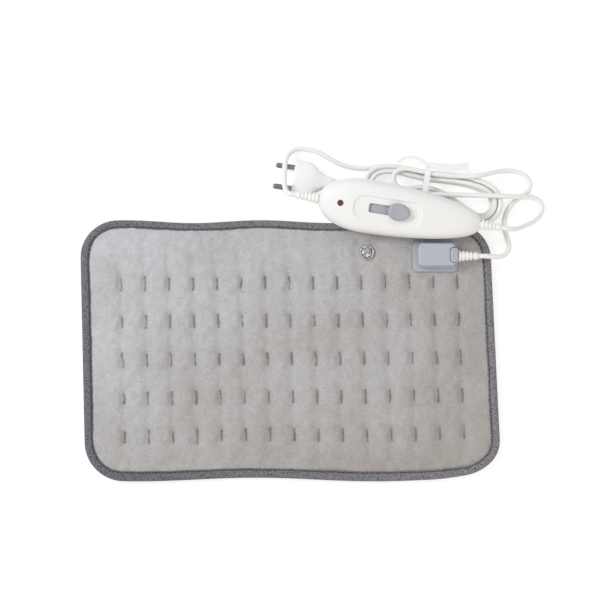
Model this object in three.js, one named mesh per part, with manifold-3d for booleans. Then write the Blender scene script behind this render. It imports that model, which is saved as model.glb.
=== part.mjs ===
// Heating pad with an in-line slide controller, a hanked mains cord and a two-pin plug.
// Millimetres, +Z up. The origin is the centre of the pad's underside, +X runs along the pad's
// long side, and +Y points to the edge that carries the connector and the controller.
import * as THREE from 'three';
import { mergeVertices } from 'three/addons/utils/BufferGeometryUtils.js';
import Module from 'manifold-3d';

const wasm = await Module();
wasm.setup();

// Clearances
const FIT = 0.3;                       // between pieces that touch
const LAYER_GAP = 0.1;                 // between the flat layers of the pad
const EDGE_ROOM = 0.8;                 // between the layers' edges and the binding
const OVERCUT = 1;                     // how far a cut runs past the face that it opens

// Pad
const PAD_LENGTH = 360;
const PAD_WIDTH = 230;
const PAD_CORNER = 32;
const PAD_LEAN = -0.035;               // sideways lean of the soft pad for each millimetre across it
const FAR_WAVE = { height: 1.3, period: 120, crest: -20 };
const NEAR_WAVE = { height: 1.6, period: 205, crest: 70 };
const COVER_THICKNESS = 2.2;
const CARRIER_THICKNESS = 0.8;
const QUILT_RIM = 3;                   // quilt thickness under the binding
const QUILT_CROWN = 8.3;               // quilt thickness over most of the pad
const CROWN_INSET = 34;                // distance from the edge at which the crown is reached
const CAVITY_INSET = 11;               // edge of the shallow space that the wire lies in
const CORNER_STEPS = 3;                // steps round half a corner
const LONG_STEPS = 12;                 // steps along the straight of a long side
const SHORT_STEPS = 3;                 // steps along the straight of a short side
const COVER_HUB = { x: 7, y: 4 };      // where the facets of the bottom cover meet, beside the pad's centre

// Binding tape
const BINDING_WIDTH = 8.3;
const BINDING_THICKNESS = 1.1;
const COVER_STEP = 1.2;                // rebate under the cover's edge for the tape

// Tacks that sew the quilt down
const TACK_COLUMNS = 15;
const TACK_ROWS = 5;
const TACK_END_ROOM = 33;              // from the pad's ends to the outer columns
const TACK_SIDE_ROOM = 47.6;           // from the pad's long sides to the outer rows
const TACK_COLUMN_PITCH = (PAD_LENGTH - 2 * TACK_END_ROOM) / (TACK_COLUMNS - 1);
const TACK_ROW_PITCH = (PAD_WIDTH - 2 * TACK_SIDE_ROOM) / (TACK_ROWS - 1);
const TACK_LENGTH = 11.5;
const TACK_DIP = 2;
const TACK_FIELD = { x: 1, y: -8.5 };  // centre of the tacked field, from the pad's centre

// Heating wire
const WIRE_DIAMETER = 1.8;
const WIRE_RUNS = 13;
const WIRE_RUN_REACH = PAD_WIDTH / 2 - 37;  // from the pad's middle to where a run turns
const WIRE_RETURN_ROOM = 14;           // from the near edge to the return run
const WIRE_LEAD_SPACING = 8;

// Snap fastener, placed between two tack columns and from the far edge
const SNAP = {
  x: TACK_FIELD.x + 3.2 * TACK_COLUMN_PITCH, y: PAD_WIDTH / 2 - 30,
  radius: 6.6, height: 1.6, studRadius: 3.3, studHeight: 3.2,
};
const SNAP_POST_RADIUS = 1.6;
const SNAP_BACK = { radius: 5, thickness: 0.8 };
const SNAP_SEAT_DEPTH = 1.6;           // how far the snap draws the quilt down

// Connector box, placed from the pad's right end and far edge
const BOX = { x: PAD_LENGTH / 2 - 51.5, y: PAD_WIDTH / 2 - 34.5, length: 37.2, width: 28, corner: 4 };
const BOX_SEAT_DEPTH = 2.3;            // how far the box draws the quilt down
const BASE_THICKNESS = 2.4;
const COVER_LENGTH = 28;
const COVER_WIDTH = 20.4;
const COVER_HEIGHT = 10.2;
const COVER_WALL = 1.6;
const COVER_DRAFT = 1.5;               // inward lean of the cover's sides
const COVER_END_ROOM = 2.4;            // flange left clear at the end away from the cord
const COLLAR = { length: 7, width: 13, axisHeight: 4.8, rise: 5.2 };
const LEAD_HOLE = { length: 14, width: 5 };
const TERMINAL = { length: 15, width: 8, height: 3.4, screwRadius: 1.2, screwDrop: 1.6, screwRise: 0.5 };
const THERMAL_FUSE = { radius: 1.5, length: 9, tail: 2.5, tailRadius: 0.45 };

// Controller, lying across the pad's far edge; its stations are measured from its blunt end
const CONTROLLER = { x: PAD_LENGTH / 2 - 83.4, y: PAD_WIDTH / 2 + 3.5, z: 25, heading: -9.3, roll: 16 };
const CONTROLLER_LENGTH = 143.5;
const CONTROLLER_WIDTH = 47;
const alongCase = (share) => share * CONTROLLER_LENGTH;
const WIDEST_STATION = alongCase(0.293);
const CROWN_STATION = alongCase(0.418);
const BLUNT_ROUND = 2.2;               // exponent of the blunt end's outline
const SLIM_ROUND = { along: 1.75, across: 0.38 };  // exponents of the slim end's outline
const UPPER_HEIGHT = 13.8;
const LOWER_DEPTH = 13.5;
const BLUNT_FALL = 0.12;               // share of the height lost at the blunt end
const SLIM_FALL = 0.3;                 // share of the height lost at the slim end
const CASE_WALL = 2;
const TOP_WALL = 3;
const FLOOR_WALL = 2;
const CASE_POINTS = 36;                // points round each ring of the case

// Slider
const KNOB = { station: alongCase(0.495), length: 20, width: 15, height: 4.6, points: 20 };
const STEM = { length: 8, width: 6.4 };
const TRAVEL = 16.5;                   // from off to the highest of three heat settings
const SLOT = { bluntRoom: 5.7, slimRoom: 1.5, width: 8, corner: 1.5 };  // rooms beyond the stem's travel
const RECESS = { bluntRoom: 13.3, slimRoom: 15, width: 20, depth: 1.5, draft: 1.4 };  // rooms beyond the slot
const SHUTTER = { ahead: 22.5, behind: 27, width: 11, thickness: 1.2, drop: 0.8 };
const SHUTTER_RIBS = { count: 4, depth: 0.4 };
const CARRIAGE = { length: 12, width: 9.4 };
const LEAF_THICKNESS = 0.5;
const TRAY = { wall: 1.2, floor: 1, height: 4.4 };

// Circuit board and what stands on it
const BOARD_THICKNESS = 1.6;
const BOARD_WIDTH = 28;
const BOARD_BASE = -1;                 // underside, measured from the seam
const BLUNT_ROOM = alongCase(0.098);   // from the blunt end to the board
const SLIM_ROOM = alongCase(0.16);     // from the slim end to the board
const LAMP = { station: alongCase(0.137), radius: 2.5, height: 7, rim: 1 };
const MAINS_TERMINALS = { station: alongCase(0.209), length: 7, width: 15, height: 5.5 };
const PAD_TERMINALS = { station: alongCase(0.746), length: 7, width: 15, height: 5.5 };
const TERMINAL_HOLE_RADIUS = 1.2;
const trayMiddle = KNOB.station - TRAVEL / 2;
const trayEnd = KNOB.station + CARRIAGE.length / 2 + 2 * FIT + TRAY.wall;
const padStripStart = PAD_TERMINALS.station - PAD_TERMINALS.length / 2;
const openBoard = (trayEnd + padStripStart) / 2;  // midway between the tray and the pad's terminals
const FUSE = { station: openBoard, side: -8, length: 20, radius: 2.5, capLength: 4.5 };
const CAPACITOR = { station: openBoard, side: 7.5, length: 13, width: 5.5, height: 7 };
const TRIAC = { station: trayMiddle, side: 11, length: 10, width: 3.6, height: 6 };
const RESISTOR = { station: trayMiddle, side: -11, length: 12, radius: 2 };
const INNER_WIRE_RADIUS = 0.9;

// Case screws, each at a station and a side
const SCREW_SPREAD = 11;
const SCREW_PLACES = [
  [alongCase(0.265), SCREW_SPREAD],
  [alongCase(0.265), -SCREW_SPREAD],
  [alongCase(0.808), 0],
];
const SCREW = { radius: 1.25, headRadius: 2.7, headHeight: 1.6, headSeat: -7, tip: 6.5, point: 1 };
const POST_RADIUS = 3.2;
const POST_SHARE = { side: 0.9, middle: 0.86 };  // of the case's height, so that a post ends inside its skin
const BOSS_RADIUS = 4.4;

// Ribbed boots
const BOOT = { collarRadius: 4.9, collarLength: 2, neckRadius: 3, flangeRadius: 3.7, flangeLength: 2 };
const RIB = { width: 1.9, gap: 1.3, depth: 0.9 };
const BOOT_SIDES = 10;
const BOOT_END_WALL = 0.8;             // rubber round the cord where a boot ends
const FLANGE_ROOM = 5;                 // from the case's inner end to a boot's flange
const MAINS_BOOT_RIBS = 5;
const PAD_BOOT_RIBS = 4;
const BOX_BOOT_RIBS = 4;
const PLUG_BOOT_RIBS = 4;

// Plug, placed from the pad's right end and far edge
const PLUG = {
  x: PAD_LENGTH / 2 - 176.1, y: PAD_WIDTH / 2 + 37.2, heading: -8.5,
  length: 34, width: 32.4, thickness: 13.7,
};
const PLUG_POINTS = 20;                // points round a section of the plug
const PLUG_SQUARENESS = 0.55;          // exponent of a section's outline; 1 is an ellipse
const PIN = { spacing: 19, radius: 2.4, reach: 17, root: 7, tip: 1.5 };

// Cord
const CORD_DIAMETER = 4.4;
const CORD_STEP = 2.3;                 // length of a step along a free run, in diameters

// Hank, placed from the pad's right end and far edge
const HANK_START = { x: PAD_LENGTH / 2 - 97, y: PAD_WIDTH / 2 + 31 };
const HANK_RUN = 88;
const HANK_HEADING = { start: 10, end: -32 };
const HANK_FOLD_RADIUS = 9.5;
const HANK_WAIST = 2.7;                // innermost strand from the middle line, under the tie
const STRAND_PITCH = 5.1;
const LAYER_PITCH = 4.95;
const LOOP_STEPS = 24;
const RUN_STEPS = 7;                   // of a loop's steps, those along one run
const HANK_WAIST_SHARE = 3 / RUN_STEPS;  // place of the waist along the run
const HANK_LOOPS = 3;                  // whole loops before the last run

// Tie
const TIE_WIDTH = 5;
const TIE_THICKNESS = 0.7;
const TIE_ROOM = 0.6;                  // between the tie and the strands
const TIE_TAIL = { length: 35, width: 6, spread: 4.5 };
const TIE_LOOP = { length: 25, reach: 9.5, width: 3.2, sweep: 150 };

// Levels of the pad's layers
const layerInset = BINDING_THICKNESS + EDGE_ROOM;
const carrierBase = COVER_THICKNESS + LAYER_GAP;
const carrierTop = carrierBase + CARRIER_THICKNESS;
const quiltBase = carrierTop + LAYER_GAP;
const wireAxis = carrierTop + LAYER_GAP + WIRE_DIAMETER / 2;
const cavityCeiling = wireAxis + WIRE_DIAMETER / 2 + LAYER_GAP;
const rimTop = quiltBase + QUILT_RIM;
const crownTop = quiltBase + QUILT_CROWN;
const bindingTop = rimTop + FIT + BINDING_THICKNESS;

// Places in the connector box, from the middle of its flange's underside
const coverStart = -BOX.length / 2 + COVER_END_ROOM;
const coverMiddle = coverStart + COVER_LENGTH / 2;
const coverBase = BASE_THICKNESS + LAYER_GAP;
const collarEnd = coverStart + COVER_LENGTH + FIT + COLLAR.length;
const boxAxis = BASE_THICKNESS + COLLAR.axisHeight;
const leadPlaces = [-1, 1].map((side) => coverMiddle + side * WIRE_LEAD_SPACING / 2);
const leadPocketTop = coverBase + TERMINAL.height / 4;

const vector = (x, y, z) => new THREE.Vector3(x, y, z);
const radians = THREE.MathUtils.degToRad;
const range = (count) => Array.from({ length: count }, (_, k) => k);

function finish(color, roughness, metalness = 0) {
  return new THREE.MeshStandardMaterial({ color, roughness, metalness });
}

const fleeceFinish = () => finish(0xb2b2b3, 1);
const tapeFinish = () => finish(0x5f6167, 0.95);
const feltFinish = () => finish(0xd9d6cf, 1);
const whitePlastic = () => finish(0xf0f0ef, 0.35);
const greyPlastic = () => finish(0xacadb2, 0.5);
const boxPlastic = () => finish(0xb3b8bf, 0.5);
const darkPlastic = () => finish(0x3a3b3e, 0.6);
const rubberFinish = () => finish(0xe6e5e1, 0.6);
const cordFinish = () => finish(0xeeeeec, 0.5);
const steelFinish = () => finish(0xb9bcc0, 0.3, 1);
const brassFinish = () => finish(0xb99a4f, 0.35, 1);
const boardFinish = () => finish(0x3d6b45, 0.6);
const lensFinish = () => finish(0x4a1714, 0.2);
const copperFinish = () => finish(0xa86b45, 0.4, 1);

// A closed surface gathered from rings of points
class Skin {
  constructor() {
    this.points = [];
    this.faces = [];
  }

  ring(vectors) {
    const first = this.points.length;
    this.points.push(...vectors);
    return vectors.map((_, k) => first + k);
  }

  band(one, two) {
    one.forEach((corner, k) => {
      const next = (k + 1) % one.length;
      this.faces.push([corner, one[next], two[next]], [corner, two[next], two[k]]);
    });
  }

  fan(loop, hub) {
    const [centre] = this.ring([hub]);
    loop.forEach((corner, k) => {
      this.faces.push([centre, loop[(k + 1) % loop.length], corner]);
    });
  }

  solid() {
    const geometry = new THREE.BufferGeometry();
    geometry.setAttribute('position', new THREE.Float32BufferAttribute(
      this.points.flatMap((point) => point.toArray()), 3));
    const volume = this.faces.reduce((sum, face) => {
      const [a, b, c] = face.map((k) => this.points[k]);
      return sum + a.dot(b.clone().cross(c));
    }, 0);
    const outward = volume > 0 ? this.faces : this.faces.map(([a, b, c]) => [a, c, b]);
    geometry.setIndex(outward.flat());
    geometry.computeVertexNormals();
    return geometry;
  }
}

function middleOf(ring) {
  const sum = ring.reduce((total, point) => total.add(point), vector(0, 0, 0));
  return sum.divideScalar(ring.length);
}

// Skin through open-ended rings, closed by a fan at each end
function loft(rings, shift = vector(0, 0, 0)) {
  const skin = new Skin();
  const loops = rings.map((ring) => skin.ring(ring));
  loops.slice(1).forEach((loop, k) => skin.band(loops[k], loop));
  skin.fan(loops[0], middleOf(rings[0]).add(shift));
  const last = rings.length - 1;
  skin.fan([...loops[last]].reverse(), middleOf(rings[last]).add(shift));
  return skin.solid();
}

// Skin round a closed section, whose last ring meets its first
function loftRound(rings) {
  const skin = new Skin();
  const loops = rings.map((ring) => skin.ring(ring));
  loops.forEach((loop, k) => skin.band(loop, loops[(k + 1) % loops.length]));
  return skin.solid();
}

// Round bar swept along a list of points
function sweep(points, radius, sides) {
  const across = vector(0, 0, 1);
  const rings = points.map((point, k) => {
    const before = points[Math.max(k - 1, 0)];
    const after = points[Math.min(k + 1, points.length - 1)];
    const along = after.clone().sub(before).normalize();
    if (k === 0 && Math.abs(along.z) > 0.9) across.set(1, 0, 0);
    across.addScaledVector(along, -across.dot(along)).normalize();
    const up = along.clone().cross(across);
    return range(sides).map((side) => {
      const angle = 2 * Math.PI * side / sides;
      return point.clone()
        .addScaledVector(across, radius * Math.cos(angle))
        .addScaledVector(up, radius * Math.sin(angle));
    });
  });
  return loft(rings);
}

function toSolid(geometry) {
  const bare = geometry.clone();
  bare.deleteAttribute('normal');
  bare.deleteAttribute('uv');
  const merged = mergeVertices(bare, 1e-4);
  return new wasm.Manifold(new wasm.Mesh({
    numProp: 3,
    vertProperties: new Float32Array(merged.attributes.position.array),
    triVerts: new Uint32Array(merged.index.array),
  }));
}

function toGeometry(solid) {
  const mesh = solid.getMesh();
  const geometry = new THREE.BufferGeometry();
  geometry.setAttribute('position', new THREE.BufferAttribute(mesh.vertProperties, 3));
  geometry.setIndex(new THREE.BufferAttribute(mesh.triVerts, 1));
  geometry.computeVertexNormals();
  return geometry;
}

function cut(geometry, tools) {
  return toGeometry(tools.reduce((solid, tool) => solid.subtract(toSolid(tool)), toSolid(geometry)));
}

function join(geometry, additions) {
  return toGeometry(additions.reduce((solid, piece) => solid.add(toSolid(piece)), toSolid(geometry)));
}

// Points round a rectangle with rounded corners, anticlockwise from the lower right corner
function roundedPoints(length, width, corner, steps = 3) {
  const centres = [[1, -1], [1, 1], [-1, 1], [-1, -1]];
  return centres.flatMap(([right, up], quarter) => range(steps + 1).map((step) => {
    const angle = Math.PI / 2 * (quarter - 1 + step / steps);
    return new THREE.Vector2(
      right * (length / 2 - corner) + corner * Math.cos(angle),
      up * (width / 2 - corner) + corner * Math.sin(angle),
    );
  }));
}

function roundedRectangle(length, width, corner, steps) {
  return new THREE.Shape(roundedPoints(length, width, corner, steps));
}

// Flat piece with its lower face at the given level
function plate(shape, level, thickness, curveSegments = 3) {
  const geometry = new THREE.ExtrudeGeometry(shape, { depth: thickness, bevelEnabled: false, curveSegments });
  return geometry.translate(0, 0, level);
}

function block(length, width, level, height, x = 0, y = 0) {
  return new THREE.BoxGeometry(length, width, height).translate(x, y, level + height / 2);
}

// Upright round bar between two levels
function rod(radius, low, high, x, y, sides = 14) {
  const geometry = new THREE.CylinderGeometry(radius, radius, high - low, sides);
  return geometry.rotateX(Math.PI / 2).translate(x, y, (low + high) / 2);
}

// Round bar lying along X
function lyingRod(radius, start, end, y, z, sides = 12) {
  const geometry = new THREE.CylinderGeometry(radius, radius, end - start, sides);
  return geometry.rotateZ(Math.PI / 2).translate((start + end) / 2, y, z);
}

// Turned piece about Z from [radius, level] pairs that start and end on the axis
function turned(profile, sides) {
  const points = profile.map(([radius, level]) => new THREE.Vector2(radius, level));
  return new THREE.LatheGeometry(points, sides).rotateX(Math.PI / 2);
}

// Turned piece about X from [radius, reach] pairs that start and end on the axis
function turnedAlong(profile, sides) {
  return turned(profile, sides).rotateY(Math.PI / 2);
}

// Turns a flat shape, drawn with X to the side and Y up, to face along X
const upright = new THREE.Matrix4().makeBasis(vector(0, 1, 0), vector(0, 0, 1), vector(1, 0, 0));

const assembly = new THREE.Group();

function add(parent, name, geometry, material) {
  const mesh = new THREE.Mesh(geometry, material);
  mesh.name = name;
  parent.add(mesh);
}

// Where a point of the flat pad goes as the soft pad lies: a little out of square, with wavy long edges
function lay(u, v, z) {
  const wave = v > 0 ? FAR_WAVE : NEAR_WAVE;
  const share = (2 * v / PAD_WIDTH) ** 2;
  const swell = wave.height * share * Math.cos(2 * Math.PI * (u - wave.crest) / wave.period);
  return vector(u + PAD_LEAN * v, v + Math.sign(v) * swell, z);
}

// Bends the square corner of a rectangle into a round one, line by line
function roundCorner(u, v, halfLength, halfWidth, radius) {
  const du = Math.abs(u) - halfLength + radius;
  const dv = Math.abs(v) - halfWidth + radius;
  if (du <= 0 || dv <= 0) return [u, v];
  const pull = Math.max(du, dv) / Math.hypot(du, dv);
  return [
    Math.sign(u) * (halfLength - radius + du * pull),
    Math.sign(v) * (halfWidth - radius + dv * pull),
  ];
}

function sidePlaces(half, radius, straightSteps) {
  const straight = half - radius;
  const corner = range(CORNER_STEPS).map((k) => {
    return straight + radius * Math.tan(radians(45 * (1 - k / CORNER_STEPS)));
  });
  const middle = range(straightSteps + 1).map((k) => straight - 2 * straight * k / straightSteps);
  return [...corner, ...middle, ...corner.map((place) => -place).reverse()];
}

// Loop round the pad at a distance inside its edge
function padRing(inset, z) {
  const halfLength = PAD_LENGTH / 2 - inset;
  const halfWidth = PAD_WIDTH / 2 - inset;
  const radius = PAD_CORNER - inset;
  const along = sidePlaces(halfLength, radius, LONG_STEPS).slice(0, -1);
  const across = sidePlaces(halfWidth, radius, SHORT_STEPS).slice(0, -1);
  const loop = [
    ...along.map((u) => [u, halfWidth]),
    ...across.map((v) => [-halfLength, v]),
    ...along.map((u) => [-u, -halfWidth]),
    ...across.map((v) => [halfLength, -v]),
  ];
  return loop.map(([u, v]) => lay(...roundCorner(u, v, halfLength, halfWidth, radius), z));
}

// Lines of the quilt's grid: close together at the rim, then at the tacks and between them
const rimLines = [0, BINDING_WIDTH - layerInset, 2 * BINDING_WIDTH - layerInset, 3 * BINDING_WIDTH];
const quiltHalfLength = PAD_LENGTH / 2 - layerInset;
const quiltHalfWidth = PAD_WIDTH / 2 - layerInset;
const quiltCorner = PAD_CORNER - layerInset;

function quiltColumns() {
  const first = TACK_FIELD.x - TACK_COLUMN_PITCH * (TACK_COLUMNS - 1) / 2;
  const sewn = range(2 * TACK_COLUMNS - 1).map((k) => {
    return { place: first + k * TACK_COLUMN_PITCH / 2, tack: k % 2 === 0 };
  });
  const left = rimLines.map((line) => ({ place: line - quiltHalfLength, tack: false }));
  const right = rimLines.map((line) => ({ place: quiltHalfLength - line, tack: false })).reverse();
  return [...left, ...sewn, ...right];
}

function quiltRows() {
  const first = TACK_FIELD.y - TACK_ROW_PITCH * (TACK_ROWS - 1) / 2;
  const sewn = range(TACK_ROWS).flatMap((k) => {
    const middle = first + k * TACK_ROW_PITCH;
    return [
      { place: middle - TACK_LENGTH / 2, tack: true },
      { place: middle + TACK_LENGTH / 2, tack: true },
      { place: middle + TACK_ROW_PITCH / 2, tack: false },
    ];
  });
  const near = rimLines.map((line) => ({ place: line - quiltHalfWidth, tack: false }));
  const far = rimLines.map((line) => ({ place: quiltHalfWidth - line, tack: false })).reverse();
  return [...near, ...sewn, ...far];
}

function quiltHeight(column, row) {
  const inset = Math.min(quiltHalfLength - Math.abs(column.place), quiltHalfWidth - Math.abs(row.place));
  const rise = THREE.MathUtils.smoothstep(inset, rimLines[1], CROWN_INSET);
  const dip = column.tack && row.tack ? TACK_DIP : 0;
  return rimTop + (crownTop - rimTop) * rise - dip;
}

function quiltGeometry() {
  const columns = quiltColumns();
  const rows = quiltRows();
  const skin = new Skin();
  const grid = columns.map((column) => skin.ring(rows.map((row) => {
    const [u, v] = roundCorner(column.place, row.place, quiltHalfLength, quiltHalfWidth, quiltCorner);
    return lay(u, v, quiltHeight(column, row));
  })));
  grid.slice(1).forEach((line, i) => {
    line.slice(1).forEach((far, j) => {
      skin.faces.push([grid[i][j], line[j], far], [grid[i][j], far, grid[i][j + 1]]);
    });
  });
  const lastColumn = columns.length - 1;
  const lastRow = rows.length - 1;
  const rim = [
    ...range(lastColumn).map((i) => [i, 0]),
    ...range(lastRow).map((j) => [lastColumn, j]),
    ...range(lastColumn).map((i) => [lastColumn - i, lastRow]),
    ...range(lastRow).map((j) => [0, lastRow - j]),
  ];
  const underside = (inset, z) => skin.ring(rim.map(([i, j]) => {
    const u = columns[i].place * (quiltHalfLength - inset) / quiltHalfLength;
    const v = rows[j].place * (quiltHalfWidth - inset) / quiltHalfWidth;
    return lay(...roundCorner(u, v, quiltHalfLength - inset, quiltHalfWidth - inset, quiltCorner - inset), z);
  }));
  const loops = [
    rim.map(([i, j]) => grid[i][j]),
    underside(0, quiltBase),
    underside(CAVITY_INSET - layerInset, quiltBase),
    underside(CAVITY_INSET - layerInset, cavityCeiling),
  ];
  loops.slice(1).forEach((loop, k) => skin.band(loop, loops[k]));
  skin.fan(loops[loops.length - 1], vector(0, 0, cavityCeiling));
  return skin.solid();
}

const boxSeat = crownTop - BOX_SEAT_DEPTH;
const snapSeat = crownTop - SNAP_SEAT_DEPTH;

function seatedQuilt() {
  const boxSeatShape = roundedRectangle(BOX.length + 2 * FIT, BOX.width + 2 * FIT, BOX.corner + FIT);
  const leadHole = roundedRectangle(LEAD_HOLE.length, LEAD_HOLE.width, LEAD_HOLE.width / 2 - FIT);
  return cut(quiltGeometry(), [
    plate(boxSeatShape, boxSeat, crownTop).translate(BOX.x, BOX.y, 0),
    plate(leadHole, 0, crownTop).translate(BOX.x + coverMiddle, BOX.y, 0),
    rod(SNAP.radius + FIT, snapSeat, 2 * crownTop, SNAP.x, SNAP.y),
    rod(SNAP_POST_RADIUS + FIT, 0, crownTop, SNAP.x, SNAP.y),
  ]);
}

function bottomCover() {
  const stepInset = BINDING_WIDTH + EDGE_ROOM;
  return loft([
    padRing(stepInset + COVER_STEP, 0),
    padRing(stepInset, COVER_STEP),
    padRing(layerInset, COVER_STEP),
    padRing(layerInset, COVER_THICKNESS),
  ], vector(COVER_HUB.x, COVER_HUB.y, 0));
}

// Tape folded over the edge: its section runs over the top, round the edge and back under
function bindingGeometry() {
  const middle = bindingTop / 2;
  const roll = BINDING_THICKNESS;
  const section = [
    [BINDING_WIDTH, bindingTop - roll],
    [BINDING_WIDTH - roll / 2, bindingTop],
    [2.5 * roll, bindingTop],
    [roll / 2, bindingTop - 1.5 * roll],
    [0, middle],
    [roll / 2, 1.5 * roll / 2],
    [2.5 * roll, 0],
    [BINDING_WIDTH, 0],
    [BINDING_WIDTH, COVER_STEP - FIT],
    [roll, COVER_STEP - FIT],
    [roll, bindingTop - roll],
  ];
  return loftRound(section.map(([inset, z]) => padRing(inset, z)));
}

// Wire from the connector down into the pad, up and down between the tack columns, and back
function heatingWireRoute() {
  const turnRadius = TACK_COLUMN_PITCH / 2;
  const firstRun = TACK_FIELD.x + TACK_COLUMN_PITCH * (WIRE_RUNS - 1) / 2 - turnRadius;
  const leadTop = boxSeat + leadPocketTop;
  const leads = leadPlaces.map((place) => BOX.x + place);
  const route = [
    vector(leads[0], BOX.y, leadTop),
    vector(leads[0], BOX.y, wireAxis + WIRE_DIAMETER),
    vector(leads[0] - WIRE_DIAMETER, BOX.y, wireAxis),
  ];
  range(WIRE_RUNS).forEach((run) => {
    const u = firstRun - run * TACK_COLUMN_PITCH;
    const side = run % 2 === 0 ? 1 : -1;
    route.push(lay(u, side * WIRE_RUN_REACH, wireAxis), lay(u, -side * WIRE_RUN_REACH, wireAxis));
    if (run === WIRE_RUNS - 1) return;
    [45, 90, 135].forEach((angle) => {
      const across = turnRadius * (1 - Math.cos(radians(angle)));
      const beyond = turnRadius * Math.sin(radians(angle));
      route.push(lay(u - across, -side * (WIRE_RUN_REACH + beyond), wireAxis));
    });
  });
  const lastRun = firstRun - (WIRE_RUNS - 1) * TACK_COLUMN_PITCH;
  const returnLine = -PAD_WIDTH / 2 + WIRE_RETURN_ROOM;
  const sideLine = PAD_LENGTH / 2 - 2 * WIRE_RETURN_ROOM;
  route.push(
    lay(lastRun + turnRadius / 2, returnLine + turnRadius / 4, wireAxis),
    lay(lastRun + turnRadius, returnLine, wireAxis),
    lay(sideLine - turnRadius, returnLine, wireAxis),
    lay(sideLine - turnRadius / 3, returnLine + turnRadius / 3, wireAxis),
    lay(sideLine, returnLine + turnRadius, wireAxis),
    lay(sideLine, BOX.y - turnRadius, wireAxis),
    lay(sideLine - turnRadius / 3, BOX.y - turnRadius / 4, wireAxis),
    vector(leads[1] + WIRE_DIAMETER, BOX.y, wireAxis),
    vector(leads[1], BOX.y, wireAxis + WIRE_DIAMETER),
    vector(leads[1], BOX.y, leadTop),
  );
  return route;
}

add(assembly, 'pad_top_quilt', seatedQuilt(), fleeceFinish());
add(assembly, 'pad_bottom_cover', bottomCover(), fleeceFinish());
add(assembly, 'heater_carrier',
  loft([padRing(layerInset, carrierBase), padRing(layerInset, carrierTop)]), feltFinish());
add(assembly, 'heating_wire', sweep(heatingWireRoute(), WIRE_DIAMETER / 2, 6), copperFinish());
add(assembly, 'edge_binding', bindingGeometry(), tapeFinish());

// Snap: a dished ring with a stud, clamped through the quilt by a post with a back disc
const snap = new THREE.Group();
snap.position.set(SNAP.x, SNAP.y, snapSeat + FIT);
assembly.add(snap);
const snapBore = SNAP_POST_RADIUS + FIT;
add(snap, 'snap_stud', turned([
  [snapBore, 0],
  [SNAP.radius, 0],
  [SNAP.radius, SNAP.height / 2],
  [SNAP.radius - SNAP.height / 2, SNAP.height],
  [SNAP.studRadius + SNAP.height / 2, SNAP.height / 2],
  [SNAP.studRadius - SNAP.height / 4, SNAP.height],
  [SNAP.studRadius, SNAP.studHeight - SNAP.height / 4],
  [SNAP.studRadius - SNAP.height / 4, SNAP.studHeight],
  [0, SNAP.studHeight],
  [0, SNAP.height],
  [snapBore, SNAP.height],
  [snapBore, 0],
], 16), steelFinish());
const snapBackTop = cavityCeiling - LAYER_GAP - snapSeat - FIT;
add(snap, 'snap_post', turned([
  [0, snapBackTop - SNAP_BACK.thickness],
  [SNAP_BACK.radius, snapBackTop - SNAP_BACK.thickness],
  [SNAP_BACK.radius, snapBackTop],
  [SNAP_POST_RADIUS, snapBackTop],
  [SNAP_POST_RADIUS, SNAP.height - FIT],
  [0, SNAP.height - FIT],
], 12), steelFinish());

// Ribbed boot along +X from the wall it leaves: flange and neck behind the wall, collar and ribs outside
function bootGeometry(wall, ribs, endRadius) {
  const ribsStart = FIT + BOOT.collarLength;
  const profile = [
    [0, -wall - FIT - BOOT.flangeLength],
    [BOOT.flangeRadius, -wall - FIT - BOOT.flangeLength],
    [BOOT.flangeRadius, -wall - FIT],
    [BOOT.neckRadius, -wall - FIT],
    [BOOT.neckRadius, FIT],
    [BOOT.collarRadius, FIT],
    [BOOT.collarRadius, ribsStart],
  ];
  range(ribs).forEach((rib) => {
    const start = ribsStart + rib * (RIB.gap + RIB.width);
    const radius = BOOT.collarRadius + (endRadius - BOOT.collarRadius) * (rib + 1) / (ribs + 1);
    profile.push(
      [radius - RIB.depth, start],
      [radius - RIB.depth, start + RIB.gap],
      [radius, start + RIB.gap],
      [radius, start + RIB.gap + RIB.width],
    );
  });
  const end = bootReach(ribs);
  profile.push([endRadius, end - RIB.gap], [endRadius, end], [0, end]);
  return turnedAlong(profile, BOOT_SIDES);
}

function bootReach(ribs) {
  return FIT + BOOT.collarLength + ribs * (RIB.gap + RIB.width) + 2 * RIB.gap;
}

const bootEndRadius = CORD_DIAMETER / 2 + BOOT_END_WALL;

// Connector box on the pad: flange, domed cover, collar and boot, with its terminals inside
const box = new THREE.Group();
box.position.set(BOX.x, BOX.y, boxSeat + FIT);
assembly.add(box);

function baseGeometry() {
  const shape = roundedRectangle(BOX.length, BOX.width, BOX.corner);
  const hole = roundedPoints(LEAD_HOLE.length, LEAD_HOLE.width, LEAD_HOLE.width / 2 - FIT).reverse();
  shape.holes.push(new THREE.Path(hole.map((point) => point.add(new THREE.Vector2(coverMiddle, 0)))));
  const bevel = BASE_THICKNESS / 4;
  const geometry = new THREE.ExtrudeGeometry(shape, {
    depth: BASE_THICKNESS - bevel, curveSegments: 3,
    bevelSize: bevel, bevelThickness: bevel, bevelOffset: -bevel, bevelSegments: 1,
  });
  return cut(geometry, [block(2 * BOX.length, 2 * BOX.width, -BASE_THICKNESS, BASE_THICKNESS)]);
}

function coverRing(shrink, z) {
  const points = roundedPoints(COVER_LENGTH - 2 * shrink, COVER_WIDTH - 2 * shrink, BOX.corner - shrink / 2);
  return points.map((point) => vector(coverMiddle + point.x, point.y, z));
}

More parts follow.
